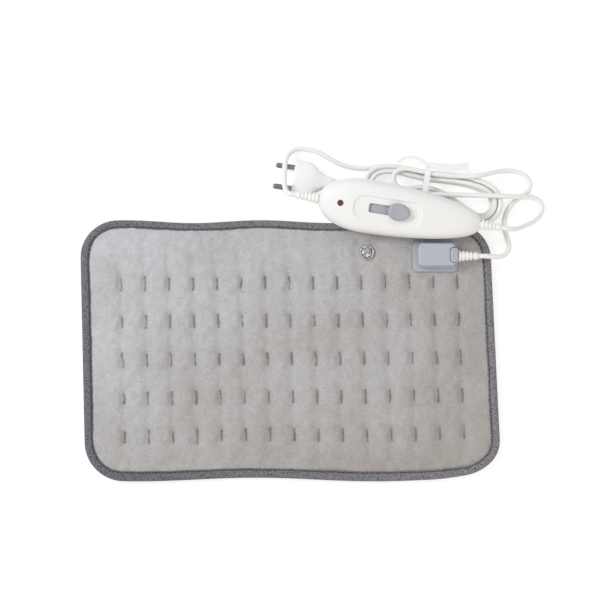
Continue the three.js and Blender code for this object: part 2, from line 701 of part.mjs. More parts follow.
function coverGeometry() {
  const top = coverBase + COVER_HEIGHT;
  const shell = loft([
    coverRing(COVER_DRAFT + COVER_WALL, top - COVER_WALL),
    coverRing(COVER_WALL, coverBase),
    coverRing(0, coverBase),
    coverRing(COVER_DRAFT * 0.6, top - COVER_DRAFT),
    coverRing(COVER_DRAFT * 1.6, top),
  ]);
  const cordSide = coverStart + COVER_LENGTH;
  const boreStart = cordSide - 2 * COVER_WALL - COVER_DRAFT;
  return cut(shell, [lyingRod(BOOT.neckRadius + FIT, boreStart, cordSide + OVERCUT, 0, boxAxis)]);
}

function collarGeometry() {
  const half = COLLAR.width / 2;
  const shape = new THREE.Shape();
  shape.moveTo(-half, coverBase);
  shape.lineTo(half, coverBase);
  shape.lineTo(half, boxAxis);
  shape.absellipse(0, boxAxis, half, COLLAR.rise, 0, Math.PI);
  const bore = new THREE.Path();
  bore.absarc(0, boxAxis, BOOT.neckRadius + FIT, 0, 2 * Math.PI, true);
  shape.holes.push(bore);
  const arch = plate(shape, 0, COLLAR.length, 8);
  return arch.applyMatrix4(upright).translate(collarEnd - COLLAR.length, 0, 0);
}

function terminalGeometry() {
  const body = block(TERMINAL.length, TERMINAL.width, coverBase, TERMINAL.height, coverMiddle);
  const leadPockets = leadPlaces.map((place) => rod(WIRE_DIAMETER, 0, leadPocketTop, place, 0));
  const screwHoles = [-1, 1].map((side) => {
    return rod(TERMINAL.screwRadius + FIT, coverBase + TERMINAL.height - TERMINAL.screwDrop,
      coverBase + 2 * TERMINAL.height, coverMiddle + side * TERMINAL.length / 4, 0);
  });
  return cut(body, [...leadPockets, ...screwHoles]);
}

const wallToCover = collarEnd - coverStart - COVER_LENGTH + 2 * COVER_WALL;
add(box, 'connector_base', baseGeometry(), boxPlastic());
add(box, 'connector_cover', coverGeometry(), boxPlastic());
add(box, 'connector_collar', collarGeometry(), boxPlastic());
add(box, 'connector_boot',
  bootGeometry(wallToCover, BOX_BOOT_RIBS, bootEndRadius).translate(collarEnd, 0, boxAxis), rubberFinish());
add(box, 'terminal_block', terminalGeometry(), darkPlastic());
[-1, 1].forEach((side, k) => {
  const seat = coverBase + TERMINAL.height - TERMINAL.screwDrop + LAYER_GAP;
  const screw = turned([
    [0, 0],
    [TERMINAL.screwRadius, 0],
    [TERMINAL.screwRadius, TERMINAL.screwDrop],
    [TERMINAL.screwRadius * 0.6, TERMINAL.screwDrop + TERMINAL.screwRise],
    [0, TERMINAL.screwDrop + TERMINAL.screwRise],
  ], 10).translate(coverMiddle + side * TERMINAL.length / 4, 0, seat);
  add(box, `terminal_screw_${k + 1}`, screw, brassFinish());
});
const fuseSide = TERMINAL.width / 2 + FIT + THERMAL_FUSE.radius;
add(box, 'thermal_fuse', turnedAlong([
  [0, -THERMAL_FUSE.length / 2 - THERMAL_FUSE.tail],
  [THERMAL_FUSE.tailRadius, -THERMAL_FUSE.length / 2 - THERMAL_FUSE.tail],
  [THERMAL_FUSE.tailRadius, -THERMAL_FUSE.length / 2],
  [THERMAL_FUSE.radius, -THERMAL_FUSE.length / 2],
  [THERMAL_FUSE.radius, THERMAL_FUSE.length / 2],
  [THERMAL_FUSE.tailRadius, THERMAL_FUSE.length / 2],
  [THERMAL_FUSE.tailRadius, THERMAL_FUSE.length / 2 + THERMAL_FUSE.tail],
  [0, THERMAL_FUSE.length / 2 + THERMAL_FUSE.tail],
], 10).translate(coverMiddle, fuseSide, coverBase + THERMAL_FUSE.radius), steelFinish());

// Controller, with X along its length from the blunt end and Z up from the seam
const controller = new THREE.Group();
controller.position.set(CONTROLLER.x, CONTROLLER.y, CONTROLLER.z);
controller.rotation.set(radians(CONTROLLER.roll), 0, radians(CONTROLLER.heading), 'ZYX');
const housing = new THREE.Group();
housing.position.x = -CONTROLLER_LENGTH / 2;
controller.add(housing);
assembly.add(controller);

// Teardrop outline: a full round at the blunt end and a long taper to the slim end
function outlinePoint(angle) {
  const along = Math.cos(angle);
  const slimLength = CONTROLLER_LENGTH - WIDEST_STATION;
  const share = along < 0
    ? (1 - Math.abs(along) ** BLUNT_ROUND) ** (1 / BLUNT_ROUND)
    : (1 - along ** SLIM_ROUND.along) ** SLIM_ROUND.across;
  return {
    station: WIDEST_STATION + along * (along < 0 ? WIDEST_STATION : slimLength),
    side: Math.sign(Math.sin(angle)) * share * CONTROLLER_WIDTH / 2,
  };
}

function heightShare(station) {
  const blunt = Math.max(0, CROWN_STATION - station) / CROWN_STATION;
  const slim = Math.max(0, station - CROWN_STATION) / (CONTROLLER_LENGTH - CROWN_STATION);
  return 1 - BLUNT_FALL * blunt ** 2 - SLIM_FALL * slim ** 2;
}

function caseRing(share, height, lift) {
  return range(CASE_POINTS).map((k) => {
    const edge = outlinePoint(2 * Math.PI * (k + 0.5) / CASE_POINTS);
    const station = CROWN_STATION + share * (edge.station - CROWN_STATION);
    return vector(station, share * edge.side, height * heightShare(station) + lift);
  });
}

// Case profiles as [share of the outline, share of the height] from the seam to the crown
const upperProfile = [[1, 0], [0.99, 0.2], [0.97, 0.42], [0.9, 0.69], [0.77, 0.87], [0.58, 0.97], [0.42, 1]];
const lowerProfile = [[1, 0], [0.99, 0.18], [0.965, 0.4], [0.88, 0.7], [0.72, 0.93], [0.5, 1]];
const innerProfile = [[0.6, 1], [0.82, 0.8], [0.95, 0.45], [1, 0]];
const innerShare = 1 - 2 * CASE_WALL / CONTROLLER_WIDTH;
const seamHalf = FIT / 2;

function caseShell(profile, height, wall, lift) {
  const cavity = Math.sign(height) * (Math.abs(height) - wall);
  return loft([
    ...innerProfile.map(([share, rise]) => caseRing(innerShare * share, cavity * rise, lift)),
    ...profile.map(([share, rise]) => caseRing(share, height * rise, lift)),
  ]);
}

// Height of the upper shell's skin on the middle line
function crownAt(station) {
  const reach = station < CROWN_STATION
    ? (CROWN_STATION - station) / CROWN_STATION
    : (station - CROWN_STATION) / (CONTROLLER_LENGTH - CROWN_STATION);
  const step = upperProfile.findIndex(([share]) => share < reach);
  if (step < 0) return UPPER_HEIGHT;
  const [outer, outerRise] = upperProfile[step - 1];
  const [inner, innerRise] = upperProfile[step];
  const rise = THREE.MathUtils.mapLinear(reach, outer, inner, outerRise, innerRise);
  return UPPER_HEIGHT * rise * heightShare(station);
}

const bluntNeck = CROWN_STATION * (1 - innerShare) + FLANGE_ROOM;
const slimNeck = (CONTROLLER_LENGTH - CROWN_STATION) * (1 - innerShare) + FLANGE_ROOM;
const recessFloor = UPPER_HEIGHT - RECESS.depth;
const slotStart = KNOB.station - TRAVEL - STEM.length / 2 - SLOT.bluntRoom;
const slotEnd = KNOB.station + STEM.length / 2 + SLOT.slimRoom;
const slotMiddle = (slotStart + slotEnd) / 2;
const recessStart = slotStart - RECESS.bluntRoom;
const recessEnd = slotEnd + RECESS.slimRoom;
const boardTop = BOARD_BASE + BOARD_THICKNESS;
const standing = boardTop + FIT;
const ceiling = UPPER_HEIGHT - TOP_WALL;

function bootBores() {
  const radius = BOOT.neckRadius + FIT;
  return [
    lyingRod(radius, -OVERCUT, bluntNeck, 0, 0),
    lyingRod(radius, CONTROLLER_LENGTH - slimNeck, CONTROLLER_LENGTH + OVERCUT, 0, 0),
  ];
}

// Shallow finger recess with sloping sides, round which the knob slides
function recessTool() {
  const length = recessEnd - recessStart;
  const ring = (grow, z) => {
    const width = RECESS.width + 2 * grow;
    const points = roundedPoints(length + 2 * grow, width, width / 2 - FIT, 5);
    return points.map((point) => vector((recessStart + recessEnd) / 2 + point.x, point.y, z));
  };
  return loft([ring(-RECESS.draft, recessFloor), ring(RECESS.draft, UPPER_HEIGHT + RECESS.depth)]);
}

function upperShell() {
  const lampHole = rod(LAMP.radius + 2 * FIT, 0, 2 * UPPER_HEIGHT, LAMP.station, 0);
  const slotShape = roundedRectangle(slotEnd - slotStart, SLOT.width, SLOT.corner);
  const slot = plate(slotShape, 0, 2 * UPPER_HEIGHT).translate(slotMiddle, 0, 0);
  const posts = SCREW_PLACES.map(([station, side]) => {
    const share = side === 0 ? POST_SHARE.middle : POST_SHARE.side;
    const top = (UPPER_HEIGHT - TOP_WALL / 2) * heightShare(station) * share;
    return rod(POST_RADIUS, standing, top, station, side);
  });
  const pilots = SCREW_PLACES.map(([station, side]) => {
    return rod(SCREW.radius + FIT, 0, SCREW.tip + 2 * FIT, station, side, 10);
  });
  const shell = cut(caseShell(upperProfile, UPPER_HEIGHT, TOP_WALL, seamHalf), [
    recessTool(), slot, lampHole, ...bootBores(),
  ]);
  return cut(join(shell, posts), pilots);
}

function lowerShell() {
  const bosses = SCREW_PLACES.map(([station, side]) => {
    const floor = FLOOR_WALL - LOWER_DEPTH * heightShare(station);
    return rod(BOSS_RADIUS, floor, BOARD_BASE - FIT, station, side);
  });
  const screwWays = SCREW_PLACES.flatMap(([station, side]) => [
    rod(SCREW.headRadius + FIT, -2 * LOWER_DEPTH, SCREW.headSeat, station, side),
    rod(SCREW.radius + FIT, -2 * LOWER_DEPTH, 0, station, side, 10),
  ]);
  const shell = cut(caseShell(lowerProfile, -LOWER_DEPTH, FLOOR_WALL, -seamHalf), bootBores());
  return cut(join(shell, bosses), screwWays);
}

function boardGeometry() {
  const length = CONTROLLER_LENGTH - BLUNT_ROOM - SLIM_ROOM;
  const middle = BLUNT_ROOM + length / 2;
  const shape = roundedRectangle(length, BOARD_WIDTH, BOARD_WIDTH / 3);
  SCREW_PLACES.forEach(([station, side]) => {
    const hole = new THREE.Path();
    hole.absarc(station - middle, side, SCREW.radius + 2 * FIT, 0, 2 * Math.PI, true);
    shape.holes.push(hole);
  });
  return plate(shape, BOARD_BASE, BOARD_THICKNESS, 5).translate(middle, 0, 0);
}

// Knob: an oval cap that swells to a rounded crown, on a stem that passes through the slot
const knobBase = recessFloor + FIT;
const shutterTop = ceiling - SHUTTER.drop;
const shutterBase = shutterTop - SHUTTER.thickness;

function ovalRing(share, z) {
  return range(KNOB.points).map((k) => {
    const angle = 2 * Math.PI * k / KNOB.points;
    const x = KNOB.station + share * KNOB.length / 2 * Math.cos(angle);
    return vector(x, share * KNOB.width / 2 * Math.sin(angle), z);
  });
}

function knobGeometry() {
  const cap = loft([
    ovalRing(0.96, knobBase),
    ovalRing(1, knobBase + KNOB.height * 0.2),
    ovalRing(0.97, knobBase + KNOB.height * 0.55),
    ovalRing(0.86, knobBase + KNOB.height * 0.85),
    ovalRing(0.66, knobBase + KNOB.height),
    ovalRing(0.4, knobBase + KNOB.height * 0.93),
  ]);
  const stemBase = shutterBase - FIT;
  return join(cap, [block(STEM.length, STEM.width, stemBase, knobBase + FIT - stemBase, KNOB.station)]);
}

// Shutter: a strip with fine lengthwise ribs that keeps the slot closed behind the knob
function shutterGeometry() {
  const half = SHUTTER.width / 2;
  const ribPitch = SLOT.width / (2 * SHUTTER_RIBS.count);
  const shape = new THREE.Shape();
  shape.moveTo(-half, shutterBase);
  shape.lineTo(half, shutterBase);
  shape.lineTo(half, shutterTop - SHUTTER_RIBS.depth);
  range(SHUTTER_RIBS.count).forEach((rib) => {
    const right = SLOT.width / 2 - ribPitch / 2 - 2 * rib * ribPitch;
    shape.lineTo(right, shutterTop - SHUTTER_RIBS.depth);
    shape.lineTo(right, shutterTop);
    shape.lineTo(right - ribPitch, shutterTop);
    shape.lineTo(right - ribPitch, shutterTop - SHUTTER_RIBS.depth);
  });
  shape.lineTo(-half, shutterTop - SHUTTER_RIBS.depth);
  const strip = plate(shape, 0, SHUTTER.ahead + SHUTTER.behind);
  strip.applyMatrix4(upright).translate(KNOB.station - SHUTTER.behind, 0, 0);
  return cut(strip, [block(STEM.length + 2 * FIT, STEM.width + 2 * FIT, 0, 2 * shutterTop, KNOB.station)]);
}

const trayFloor = standing + TRAY.floor;
const leafBase = trayFloor + FIT;
const carriageBase = leafBase + 2 * LEAF_THICKNESS + FIT;
const carriageTop = shutterBase - 2 * FIT;

// Tray that guides the carriage over its whole travel
function trayGeometry() {
  const innerLength = TRAVEL + CARRIAGE.length + 4 * FIT;
  const innerWidth = CARRIAGE.width + 2 * FIT;
  const outerLength = innerLength + 2 * TRAY.wall;
  const outerWidth = innerWidth + 2 * TRAY.wall;
  const outer = block(outerLength, outerWidth, standing, TRAY.height, trayMiddle);
  return cut(outer, [block(innerLength, innerWidth, trayFloor, TRAY.height, trayMiddle)]);
}

// Contact leaf: a bowed brass strip under the carriage
function leafGeometry() {
  const half = CARRIAGE.length / 2 - FIT;
  const shape = new THREE.Shape();
  shape.moveTo(-half, leafBase);
  shape.lineTo(-half / 2, leafBase);
  shape.lineTo(-half / 4, leafBase + LEAF_THICKNESS);
  shape.lineTo(half / 4, leafBase + LEAF_THICKNESS);
  shape.lineTo(half / 2, leafBase);
  shape.lineTo(half, leafBase);
  shape.lineTo(half, leafBase + LEAF_THICKNESS);
  shape.lineTo(half / 2, leafBase + LEAF_THICKNESS);
  shape.lineTo(half / 4, leafBase + 2 * LEAF_THICKNESS);
  shape.lineTo(-half / 4, leafBase + 2 * LEAF_THICKNESS);
  shape.lineTo(-half / 2, leafBase + LEAF_THICKNESS);
  shape.lineTo(-half, leafBase + LEAF_THICKNESS);
  const width = CARRIAGE.width / 2;
  const leaf = new THREE.ExtrudeGeometry(shape, { depth: width, bevelEnabled: false });
  return leaf.rotateX(Math.PI / 2).translate(KNOB.station, width / 2, 0);
}

function lampGeometry() {
  const shoulder = standing + LAMP.rim;
  return turned([
    [0, standing],
    [LAMP.radius + FIT, standing],
    [LAMP.radius + FIT, shoulder],
    [LAMP.radius, shoulder],
    [LAMP.radius, standing + LAMP.height - LAMP.rim],
    [LAMP.radius * 0.6, standing + LAMP.height],
    [0, standing + LAMP.height],
  ], 12).translate(LAMP.station, 0, 0);
}

function lensGeometry() {
  const base = standing + LAMP.height + FIT;
  const crown = crownAt(LAMP.station) + 2 * FIT;
  return turned([
    [0, base],
    [LAMP.radius + FIT, base],
    [LAMP.radius + FIT, crown - LAMP.rim],
    [LAMP.radius * 0.7, crown - FIT],
    [0, crown],
  ], 14).translate(LAMP.station, 0, 0);
}

function fuseGeometry() {
  const half = FUSE.length / 2;
  const glass = FUSE.radius - FIT;
  return turnedAlong([
    [0, -half],
    [FUSE.radius, -half],
    [FUSE.radius, FUSE.capLength - half],
    [glass, FUSE.capLength - half],
    [glass, half - FUSE.capLength],
    [FUSE.radius, half - FUSE.capLength],
    [FUSE.radius, half],
    [0, half],
  ], 10).translate(FUSE.station, FUSE.side, standing + FUSE.radius);
}

function resistorGeometry() {
  const half = RESISTOR.length / 2;
  return turnedAlong([
    [0, -half],
    [RESISTOR.radius, -half],
    [RESISTOR.radius, -half * 0.6],
    [RESISTOR.radius * 0.85, -half * 0.5],
    [RESISTOR.radius * 0.85, half * 0.5],
    [RESISTOR.radius, half * 0.6],
    [RESISTOR.radius, half],
    [0, half],
  ], 10).translate(RESISTOR.station, RESISTOR.side, standing + RESISTOR.radius);
}

function terminalStrip(strip) {
  const body = block(strip.length, strip.width, standing, strip.height, strip.station);
  const holeFloor = standing + strip.height / 2;
  const holeTop = holeFloor + strip.height;
  return cut(body, [-1, 1].map((side) => {
    return rod(TERMINAL_HOLE_RADIUS, holeFloor, holeTop, strip.station, side * strip.width / 3);
  }));
}

function standingBlock(piece) {
  return block(piece.length, piece.width, standing, piece.height, piece.station, piece.side);
}

function caseScrew(station, side) {
  const headTop = SCREW.headSeat - FIT;
  return turned([
    [0, headTop - SCREW.headHeight],
    [SCREW.headRadius, headTop - SCREW.headHeight],
    [SCREW.headRadius, headTop],
    [SCREW.radius, headTop],
    [SCREW.radius, SCREW.tip - SCREW.point],
    [0, SCREW.tip],
  ], 10).translate(station, side, 0);
}

// Inner wire from a boot's flange to the face of a terminal strip, as shares of its length, spread and rise
const wireCourse = [[0, 0.3, 0], [0.25, 0.65, 0.2], [0.5, 1.08, 0.6], [0.85, 1, 1], [1, 1, 1]];

function innerWire(start, end, side, strip) {
  const spread = side * strip.width / 3;
  const low = standing + INNER_WIRE_RADIUS;
  const high = standing + strip.height / 2;
  const course = wireCourse.map(([along, across, up]) => vector(
    THREE.MathUtils.lerp(start, end, along),
    spread * across,
    THREE.MathUtils.lerp(low, high, up),
  ));
  return sweep(course, INNER_WIRE_RADIUS, 6);
}

add(housing, 'controller_upper_shell', upperShell(), whitePlastic());
add(housing, 'controller_lower_shell', lowerShell(), whitePlastic());
add(housing, 'circuit_board', boardGeometry(), boardFinish());
add(housing, 'slider_knob', knobGeometry(), greyPlastic());
add(housing, 'slider_shutter', shutterGeometry(), greyPlastic());
const carriageHeight = carriageTop - carriageBase;
add(housing, 'switch_carriage',
  block(CARRIAGE.length, CARRIAGE.width, carriageBase, carriageHeight, KNOB.station), darkPlastic());
add(housing, 'contact_leaf', leafGeometry(), brassFinish());
add(housing, 'switch_tray', trayGeometry(), darkPlastic());
add(housing, 'indicator_lamp', lampGeometry(), finish(0xb5493f, 0.3));
add(housing, 'indicator_lens', lensGeometry(), lensFinish());
add(housing, 'mains_terminals', terminalStrip(MAINS_TERMINALS), darkPlastic());
add(housing, 'pad_terminals', terminalStrip(PAD_TERMINALS), darkPlastic());
add(housing, 'fuse', fuseGeometry(), steelFinish());
add(housing, 'resistor', resistorGeometry(), finish(0xb8a27c, 0.7));
add(housing, 'capacitor', standingBlock(CAPACITOR), finish(0x9c5a34, 0.6));
add(housing, 'triac', standingBlock(TRIAC), darkPlastic());
SCREW_PLACES.forEach(([station, side], k) => {
  add(housing, `case_screw_${k + 1}`, caseScrew(station, side), steelFinish());
});
const mainsFlange = bluntNeck + 2 * FIT + BOOT.flangeLength;
const padFlange = CONTROLLER_LENGTH - slimNeck - 2 * FIT - BOOT.flangeLength;
const mainsStripFace = MAINS_TERMINALS.station - MAINS_TERMINALS.length / 2 - FIT;
const padStripFace = PAD_TERMINALS.station + PAD_TERMINALS.length / 2 + FIT;
[-1, 1].forEach((side, k) => {
  add(housing, `mains_wire_${k + 1}`,
    innerWire(mainsFlange, mainsStripFace, side, MAINS_TERMINALS), copperFinish());
  add(housing, `pad_wire_${k + 1}`,
    innerWire(padFlange, padStripFace, side, PAD_TERMINALS), copperFinish());
});
add(housing, 'mains_boot',
  bootGeometry(bluntNeck, MAINS_BOOT_RIBS, bootEndRadius).rotateZ(Math.PI), rubberFinish());
add(housing, 'pad_lead_boot',
  bootGeometry(slimNeck, PAD_BOOT_RIBS, bootEndRadius).translate(CONTROLLER_LENGTH, 0, 0), rubberFinish());

// Plug lying flat, with X from its pin face to its rear
const plug = new THREE.Group();
const plugAxis = PLUG.thickness / 2 + LAYER_GAP;
plug.position.set(PLUG.x, PLUG.y, plugAxis);
plug.rotation.z = radians(PLUG.heading);
assembly.add(plug);

// Sections of the plug's body as [share of length, share of width, share of thickness]
const plugSections = [
  [0, 0.95, 0.93], [0.03, 1, 1], [0.32, 1, 1], [0.48, 0.89, 0.97],
  [0.64, 0.58, 0.88], [0.8, 0.38, 0.78], [1, 0.3, 0.7],
];

function plugBody() {
  const rings = plugSections.map(([reach, width, thickness]) => range(PLUG_POINTS).map((k) => {
    const angle = 2 * Math.PI * (k + 0.5) / PLUG_POINTS;
    const squared = (value) => Math.sign(value) * Math.abs(value) ** PLUG_SQUARENESS;
    const y = squared(Math.cos(angle)) * width * PLUG.width / 2;
    const z = squared(Math.sin(angle)) * thickness * PLUG.thickness / 2;
    return vector(reach * PLUG.length, y, z);
  }));
  const sockets = [-1, 1].map((side) => {
    return lyingRod(PIN.radius + FIT, -OVERCUT, PIN.root + FIT, side * PIN.spacing / 2, 0);
  });
  return cut(loft(rings), sockets);
}

function plugPin(side) {
  return turnedAlong([
    [0, -PIN.reach],
    [PIN.radius * 0.45, -PIN.reach],
    [PIN.radius, PIN.tip - PIN.reach],
    [PIN.radius, PIN.root],
    [0, PIN.root],
  ], 12).translate(0, side * PIN.spacing / 2, 0);
}

const plugBootEnd = PLUG.length + FIT + PLUG_BOOT_RIBS * (RIB.gap + RIB.width) + RIB.gap;

// Rear boot of the plug: ribs only, because its root is moulded into the body
function plugBoot() {
  const start = PLUG.length + FIT;
  const profile = [[0, start]];
  range(PLUG_BOOT_RIBS).forEach((rib) => {
    const near = start + rib * (RIB.gap + RIB.width);
    const radius = BOOT.collarRadius + (bootEndRadius - BOOT.collarRadius) * rib / PLUG_BOOT_RIBS;
    profile.push(
      [radius, near],
      [radius, near + RIB.width],
      [radius - RIB.depth, near + RIB.width],
      [radius - RIB.depth, near + RIB.width + RIB.gap],
    );
  });
  profile.push([bootEndRadius, plugBootEnd - RIB.gap], [bootEndRadius, plugBootEnd], [0, plugBootEnd]);
  return turnedAlong(profile, BOOT_SIDES);
}

add(plug, 'plug_body', plugBody(), whitePlastic());
add(plug, 'plug_pin_1', plugPin(1), steelFinish());
add(plug, 'plug_pin_2', plugPin(-1), steelFinish());
add(plug, 'plug_boot', plugBoot(), rubberFinish());

// Free runs of the cord, from piece to piece
const strandBase = TIE_THICKNESS + TIE_ROOM + CORD_DIAMETER / 2;
const pileTop = strandBase + LAYER_PITCH + CORD_DIAMETER + FIT;

// Two points that take a cord straight off the end of a piece: at its face, and one diameter further on
function leadOut(face, direction) {
  return [FIT, FIT + CORD_DIAMETER].map((step) => face.clone().addScaledVector(direction, step));
}

// The same off a boot that points along the X of its group
function leadOutOfBoot(group, x, z, toward) {
  group.updateWorldMatrix(true, false);
  const face = group.localToWorld(vector(x, 0, z));
  const direction = vector(toward, 0, 0).transformDirection(group.matrixWorld);
  return leadOut(face, direction);
}

// Middle points of the runs, from the pad's far right corner
const padCorner = vector(PAD_LENGTH / 2, PAD_WIDTH / 2, 0);
const mainsMiddle = [
  [-182.4, 22.4, 23.0], [-183.8, 27.4, 20.2], [-184, 33, 17.2], [-184, 39.5, 14.7], [-183.8, 46, 13.0],
  [-183, 52, 11.4], [-180.8, 57.5, 8.2], [-177.2, 61.9, 5.2], [-171.6, 64.4, 3.3], [-163.5, 64.2, 2.6],
  [-155.4, 61.9, 2.6], [-147, 57.4, 2.6], [-138.2, 52.4, 2.6], [-129, 48.9, 2.7], [-119, 47.1, 3.0],
  [-111, 47, 3.4],
];

const plugMiddle = [
  [-104.6, 11, 8.1], [-110.8, 14.8, 7.6], [-114.6, 20.4, 7.2], [-117.8, 25.4, 7.0],
];

const padLeadMiddle = [
  [18, -11.1, 20.6], [27, -6.6, 13.8], [36.4, -0.6, 7.2], [41.4, 6, 3.4], [42.5, 12.6, 2.6],
  [39.6, 17.9, 3.0], [32.4, 20.4, 5.0], [23, 20.2, 8.2], [14, 19.9, 11.4],
  [4, 20, pileTop], [-20, 20.5, pileTop], [-42, 21, pileTop], [-57, 21.6, pileTop],
  [-72, 24, pileTop], [-79.5, 25.6, pileTop], [-85.8, 29.2, pileTop], [-88.4, 35.2, pileTop],
  [-85.8, 41.4, pileTop], [-79, 44.2, pileTop], [-68, 42.6, pileTop], [-57, 40.2, pileTop],
  [-40, 38.2, pileTop], [-24, 37.4, pileTop], [-14, 38, pileTop], [-4, 40.8, 9.6], [9.2, 44.2, 5.0],
  [20.4, 43.8, 2.8], [27.8, 40.2, 2.6], [32, 34, 2.6], [31.3, 28.2, 2.6], [27.4, 23.6, 2.6],
  [21.5, 19.4, 2.6], [15.8, 14.4, 2.6], [11.8, 8.2, 2.6], [9.5, 0.2, 2.6], [9.6, -8.5, 2.6],
  [12, -17.5, 3.0], [12.8, -24.6, 4.6], [9.6, -31.2, 8.0], [3.4, -34.2, 11.6], [-3, -34.5, 14.6],
];

function cordRun(route) {
  const path = new THREE.CatmullRomCurve3(route, false, 'centripetal');
  const steps = Math.round(path.getLength() / (CORD_STEP * CORD_DIAMETER));
  const section = new THREE.Shape();
  section.absarc(0, 0, CORD_DIAMETER / 2, 0, 2 * Math.PI);
  return new THREE.ExtrudeGeometry(section, {
    steps, extrudePath: path, bevelEnabled: false, curveSegments: 4,
  });
}

// Middle line of the hank, a gentle arc, with its heading
function spineAt(share) {
  const first = radians(HANK_HEADING.start);
  const turn = radians(HANK_HEADING.end) - first;
  const heading = first + turn * share;
  const bend = turn / HANK_RUN;
  return {
    x: HANK_START.x + (Math.sin(heading) - Math.sin(first)) / bend,
    y: HANK_START.y - (Math.cos(heading) - Math.cos(first)) / bend,
    heading,
  };
}

const runShare = RUN_STEPS / LOOP_STEPS;
const reversal = 1.5 + runShare / 2;
const hankTurns = HANK_LOOPS + 0.5 + runShare;

function innerOffset(share) {
  const beyond = share < HANK_WAIST_SHARE
    ? 1 - share / HANK_WAIST_SHARE
    : (share - HANK_WAIST_SHARE) / (1 - HANK_WAIST_SHARE);
  return HANK_WAIST + (HANK_FOLD_RADIUS - HANK_WAIST) * THREE.MathUtils.smoothstep(beyond, 0, 1);
}

// Point of the hank after a number of turns: spiralling in on the lower layer and out on the upper one
function hankPoint(turn) {
  const phase = turn - Math.floor(turn);
  const strand = Math.abs(turn - reversal) * STRAND_PITCH;
  const climb = THREE.MathUtils.clamp((turn - reversal) / runShare + 0.5, 0, 1);
  const z = strandBase + climb * LAYER_PITCH;
  const onFar = phase < 0.5;
  const within = onFar ? phase : phase - 0.5;
  const place = (spine, forward, left) => vector(
    spine.x + forward * Math.cos(spine.heading) - left * Math.sin(spine.heading),
    spine.y + forward * Math.sin(spine.heading) + left * Math.cos(spine.heading),
    z,
  );
  if (within <= runShare) {
    const share = onFar ? within / runShare : 1 - within / runShare;
    const offset = innerOffset(share) + strand;
    return place(spineAt(share), 0, onFar ? offset : -offset);
  }
  const angle = Math.PI * (within - runShare) / (0.5 - runShare);
  const radius = HANK_FOLD_RADIUS + strand;
  const side = onFar ? 1 : -1;
  return place(spineAt(onFar ? 1 : 0), side * radius * Math.sin(angle), side * radius * Math.cos(angle));
}

function hankPoints(stepsPerLoop) {
  return range(Math.round(hankTurns * stepsPerLoop) + 1).map((k) => hankPoint(k / stepsPerLoop));
}

// Least clear distance between strands, measured on points well apart along the cord
function leastHankGap() {
  const fine = 4 * LOOP_STEPS;
  const points = hankPoints(fine);
  let least = Infinity;
  points.forEach((point, k) => {
    points.slice(k + fine / 4).forEach((other) => {
      least = Math.min(least, point.distanceTo(other) - CORD_DIAMETER);
    });
  });
  return least;
}

console.log(`least gap between the hank's strands: ${leastHankGap().toFixed(2)} mm`);

// Tie: a flat band round the waist, with a turned-back loop and a tail lying beside it
function tieGeometry() {
  const waist = spineAt(HANK_WAIST_SHARE);
  const farTurns = HANK_WAIST_SHARE * runShare;
  const nearTurns = hankTurns - HANK_WAIST_SHARE * runShare;
  const innermost = HANK_WAIST + CORD_DIAMETER / 2 + TIE_ROOM;
  const reach = (turn) => innermost + Math.abs(turn - reversal) * STRAND_PITCH;
  const far = reach(farTurns);
  const near = reach(nearTurns);
  const top = pileTop + CORD_DIAMETER / 2 + TIE_ROOM;
  const width = far + near;
  const height = top - TIE_THICKNESS;
  const outer = roundedRectangle(width + 2 * TIE_THICKNESS, height + 2 * TIE_THICKNESS, CORD_DIAMETER / 2);
  const inner = roundedPoints(width, height, CORD_DIAMETER / 2 - TIE_THICKNESS).reverse();
  outer.holes.push(new THREE.Path(inner));
  const band = plate(outer, -TIE_WIDTH / 2, TIE_WIDTH);
  band.applyMatrix4(upright).translate(0, (far - near) / 2, TIE_THICKNESS + height / 2 + LAYER_GAP);
  const farWall = far + TIE_THICKNESS / 2;
  const tailEnd = farWall + TIE_TAIL.spread;
  const tail = new THREE.Shape();
  tail.moveTo(0, farWall);
  tail.quadraticCurveTo(TIE_TAIL.length / 2, farWall, TIE_TAIL.length, tailEnd);
  tail.lineTo(TIE_TAIL.length, tailEnd + TIE_TAIL.width);
  tail.quadraticCurveTo(TIE_TAIL.length / 2, farWall + TIE_TAIL.width, 0, farWall + TIE_TAIL.width);
  const half = TIE_LOOP.length / 2;
  const turn = radians(TIE_LOOP.sweep);
  const loop = new THREE.Shape();
  loop.absellipse(-half, farWall, half, TIE_LOOP.reach, 0, turn);
  loop.absellipse(-half, farWall, half - TIE_LOOP.width, TIE_LOOP.reach - TIE_LOOP.width, turn, 0, true);
  const overHank = pileTop - CORD_DIAMETER / 2 + FIT;
  const strips = [tail, loop].map((shape) => plate(shape, overHank, TIE_THICKNESS, 6));
  return join(band, strips).rotateZ(waist.heading).translate(waist.x, waist.y, 0);
}

const wound = hankPoints(LOOP_STEPS);
const hankLeadIn = leadOut(wound[0], wound[0].clone().sub(wound[1]).normalize());
const hankLeadOut = leadOut(wound.at(-1), wound.at(-1).clone().sub(wound.at(-2)).normalize());
const points = (list) => list.map((point) => vector(...point).add(padCorner));
const mainsRoute = [
  ...leadOutOfBoot(housing, -bootReach(MAINS_BOOT_RIBS), 0, -1),
  ...points(mainsMiddle),
  ...hankLeadIn.reverse(),
];
const plugRoute = [
  ...hankLeadOut,
  ...points(plugMiddle),
  ...leadOutOfBoot(plug, plugBootEnd, 0, 1).reverse(),
];
const padLeadRoute = [
  ...leadOutOfBoot(housing, CONTROLLER_LENGTH + bootReach(PAD_BOOT_RIBS), 0, 1),
  ...points(padLeadMiddle),
  ...leadOutOfBoot(box, collarEnd + bootReach(BOX_BOOT_RIBS), boxAxis, 1).reverse(),
];
add(assembly, 'mains_cord', cordRun(mainsRoute), cordFinish());
add(assembly, 'mains_cord_hank', sweep(wound, CORD_DIAMETER / 2, 6), cordFinish());
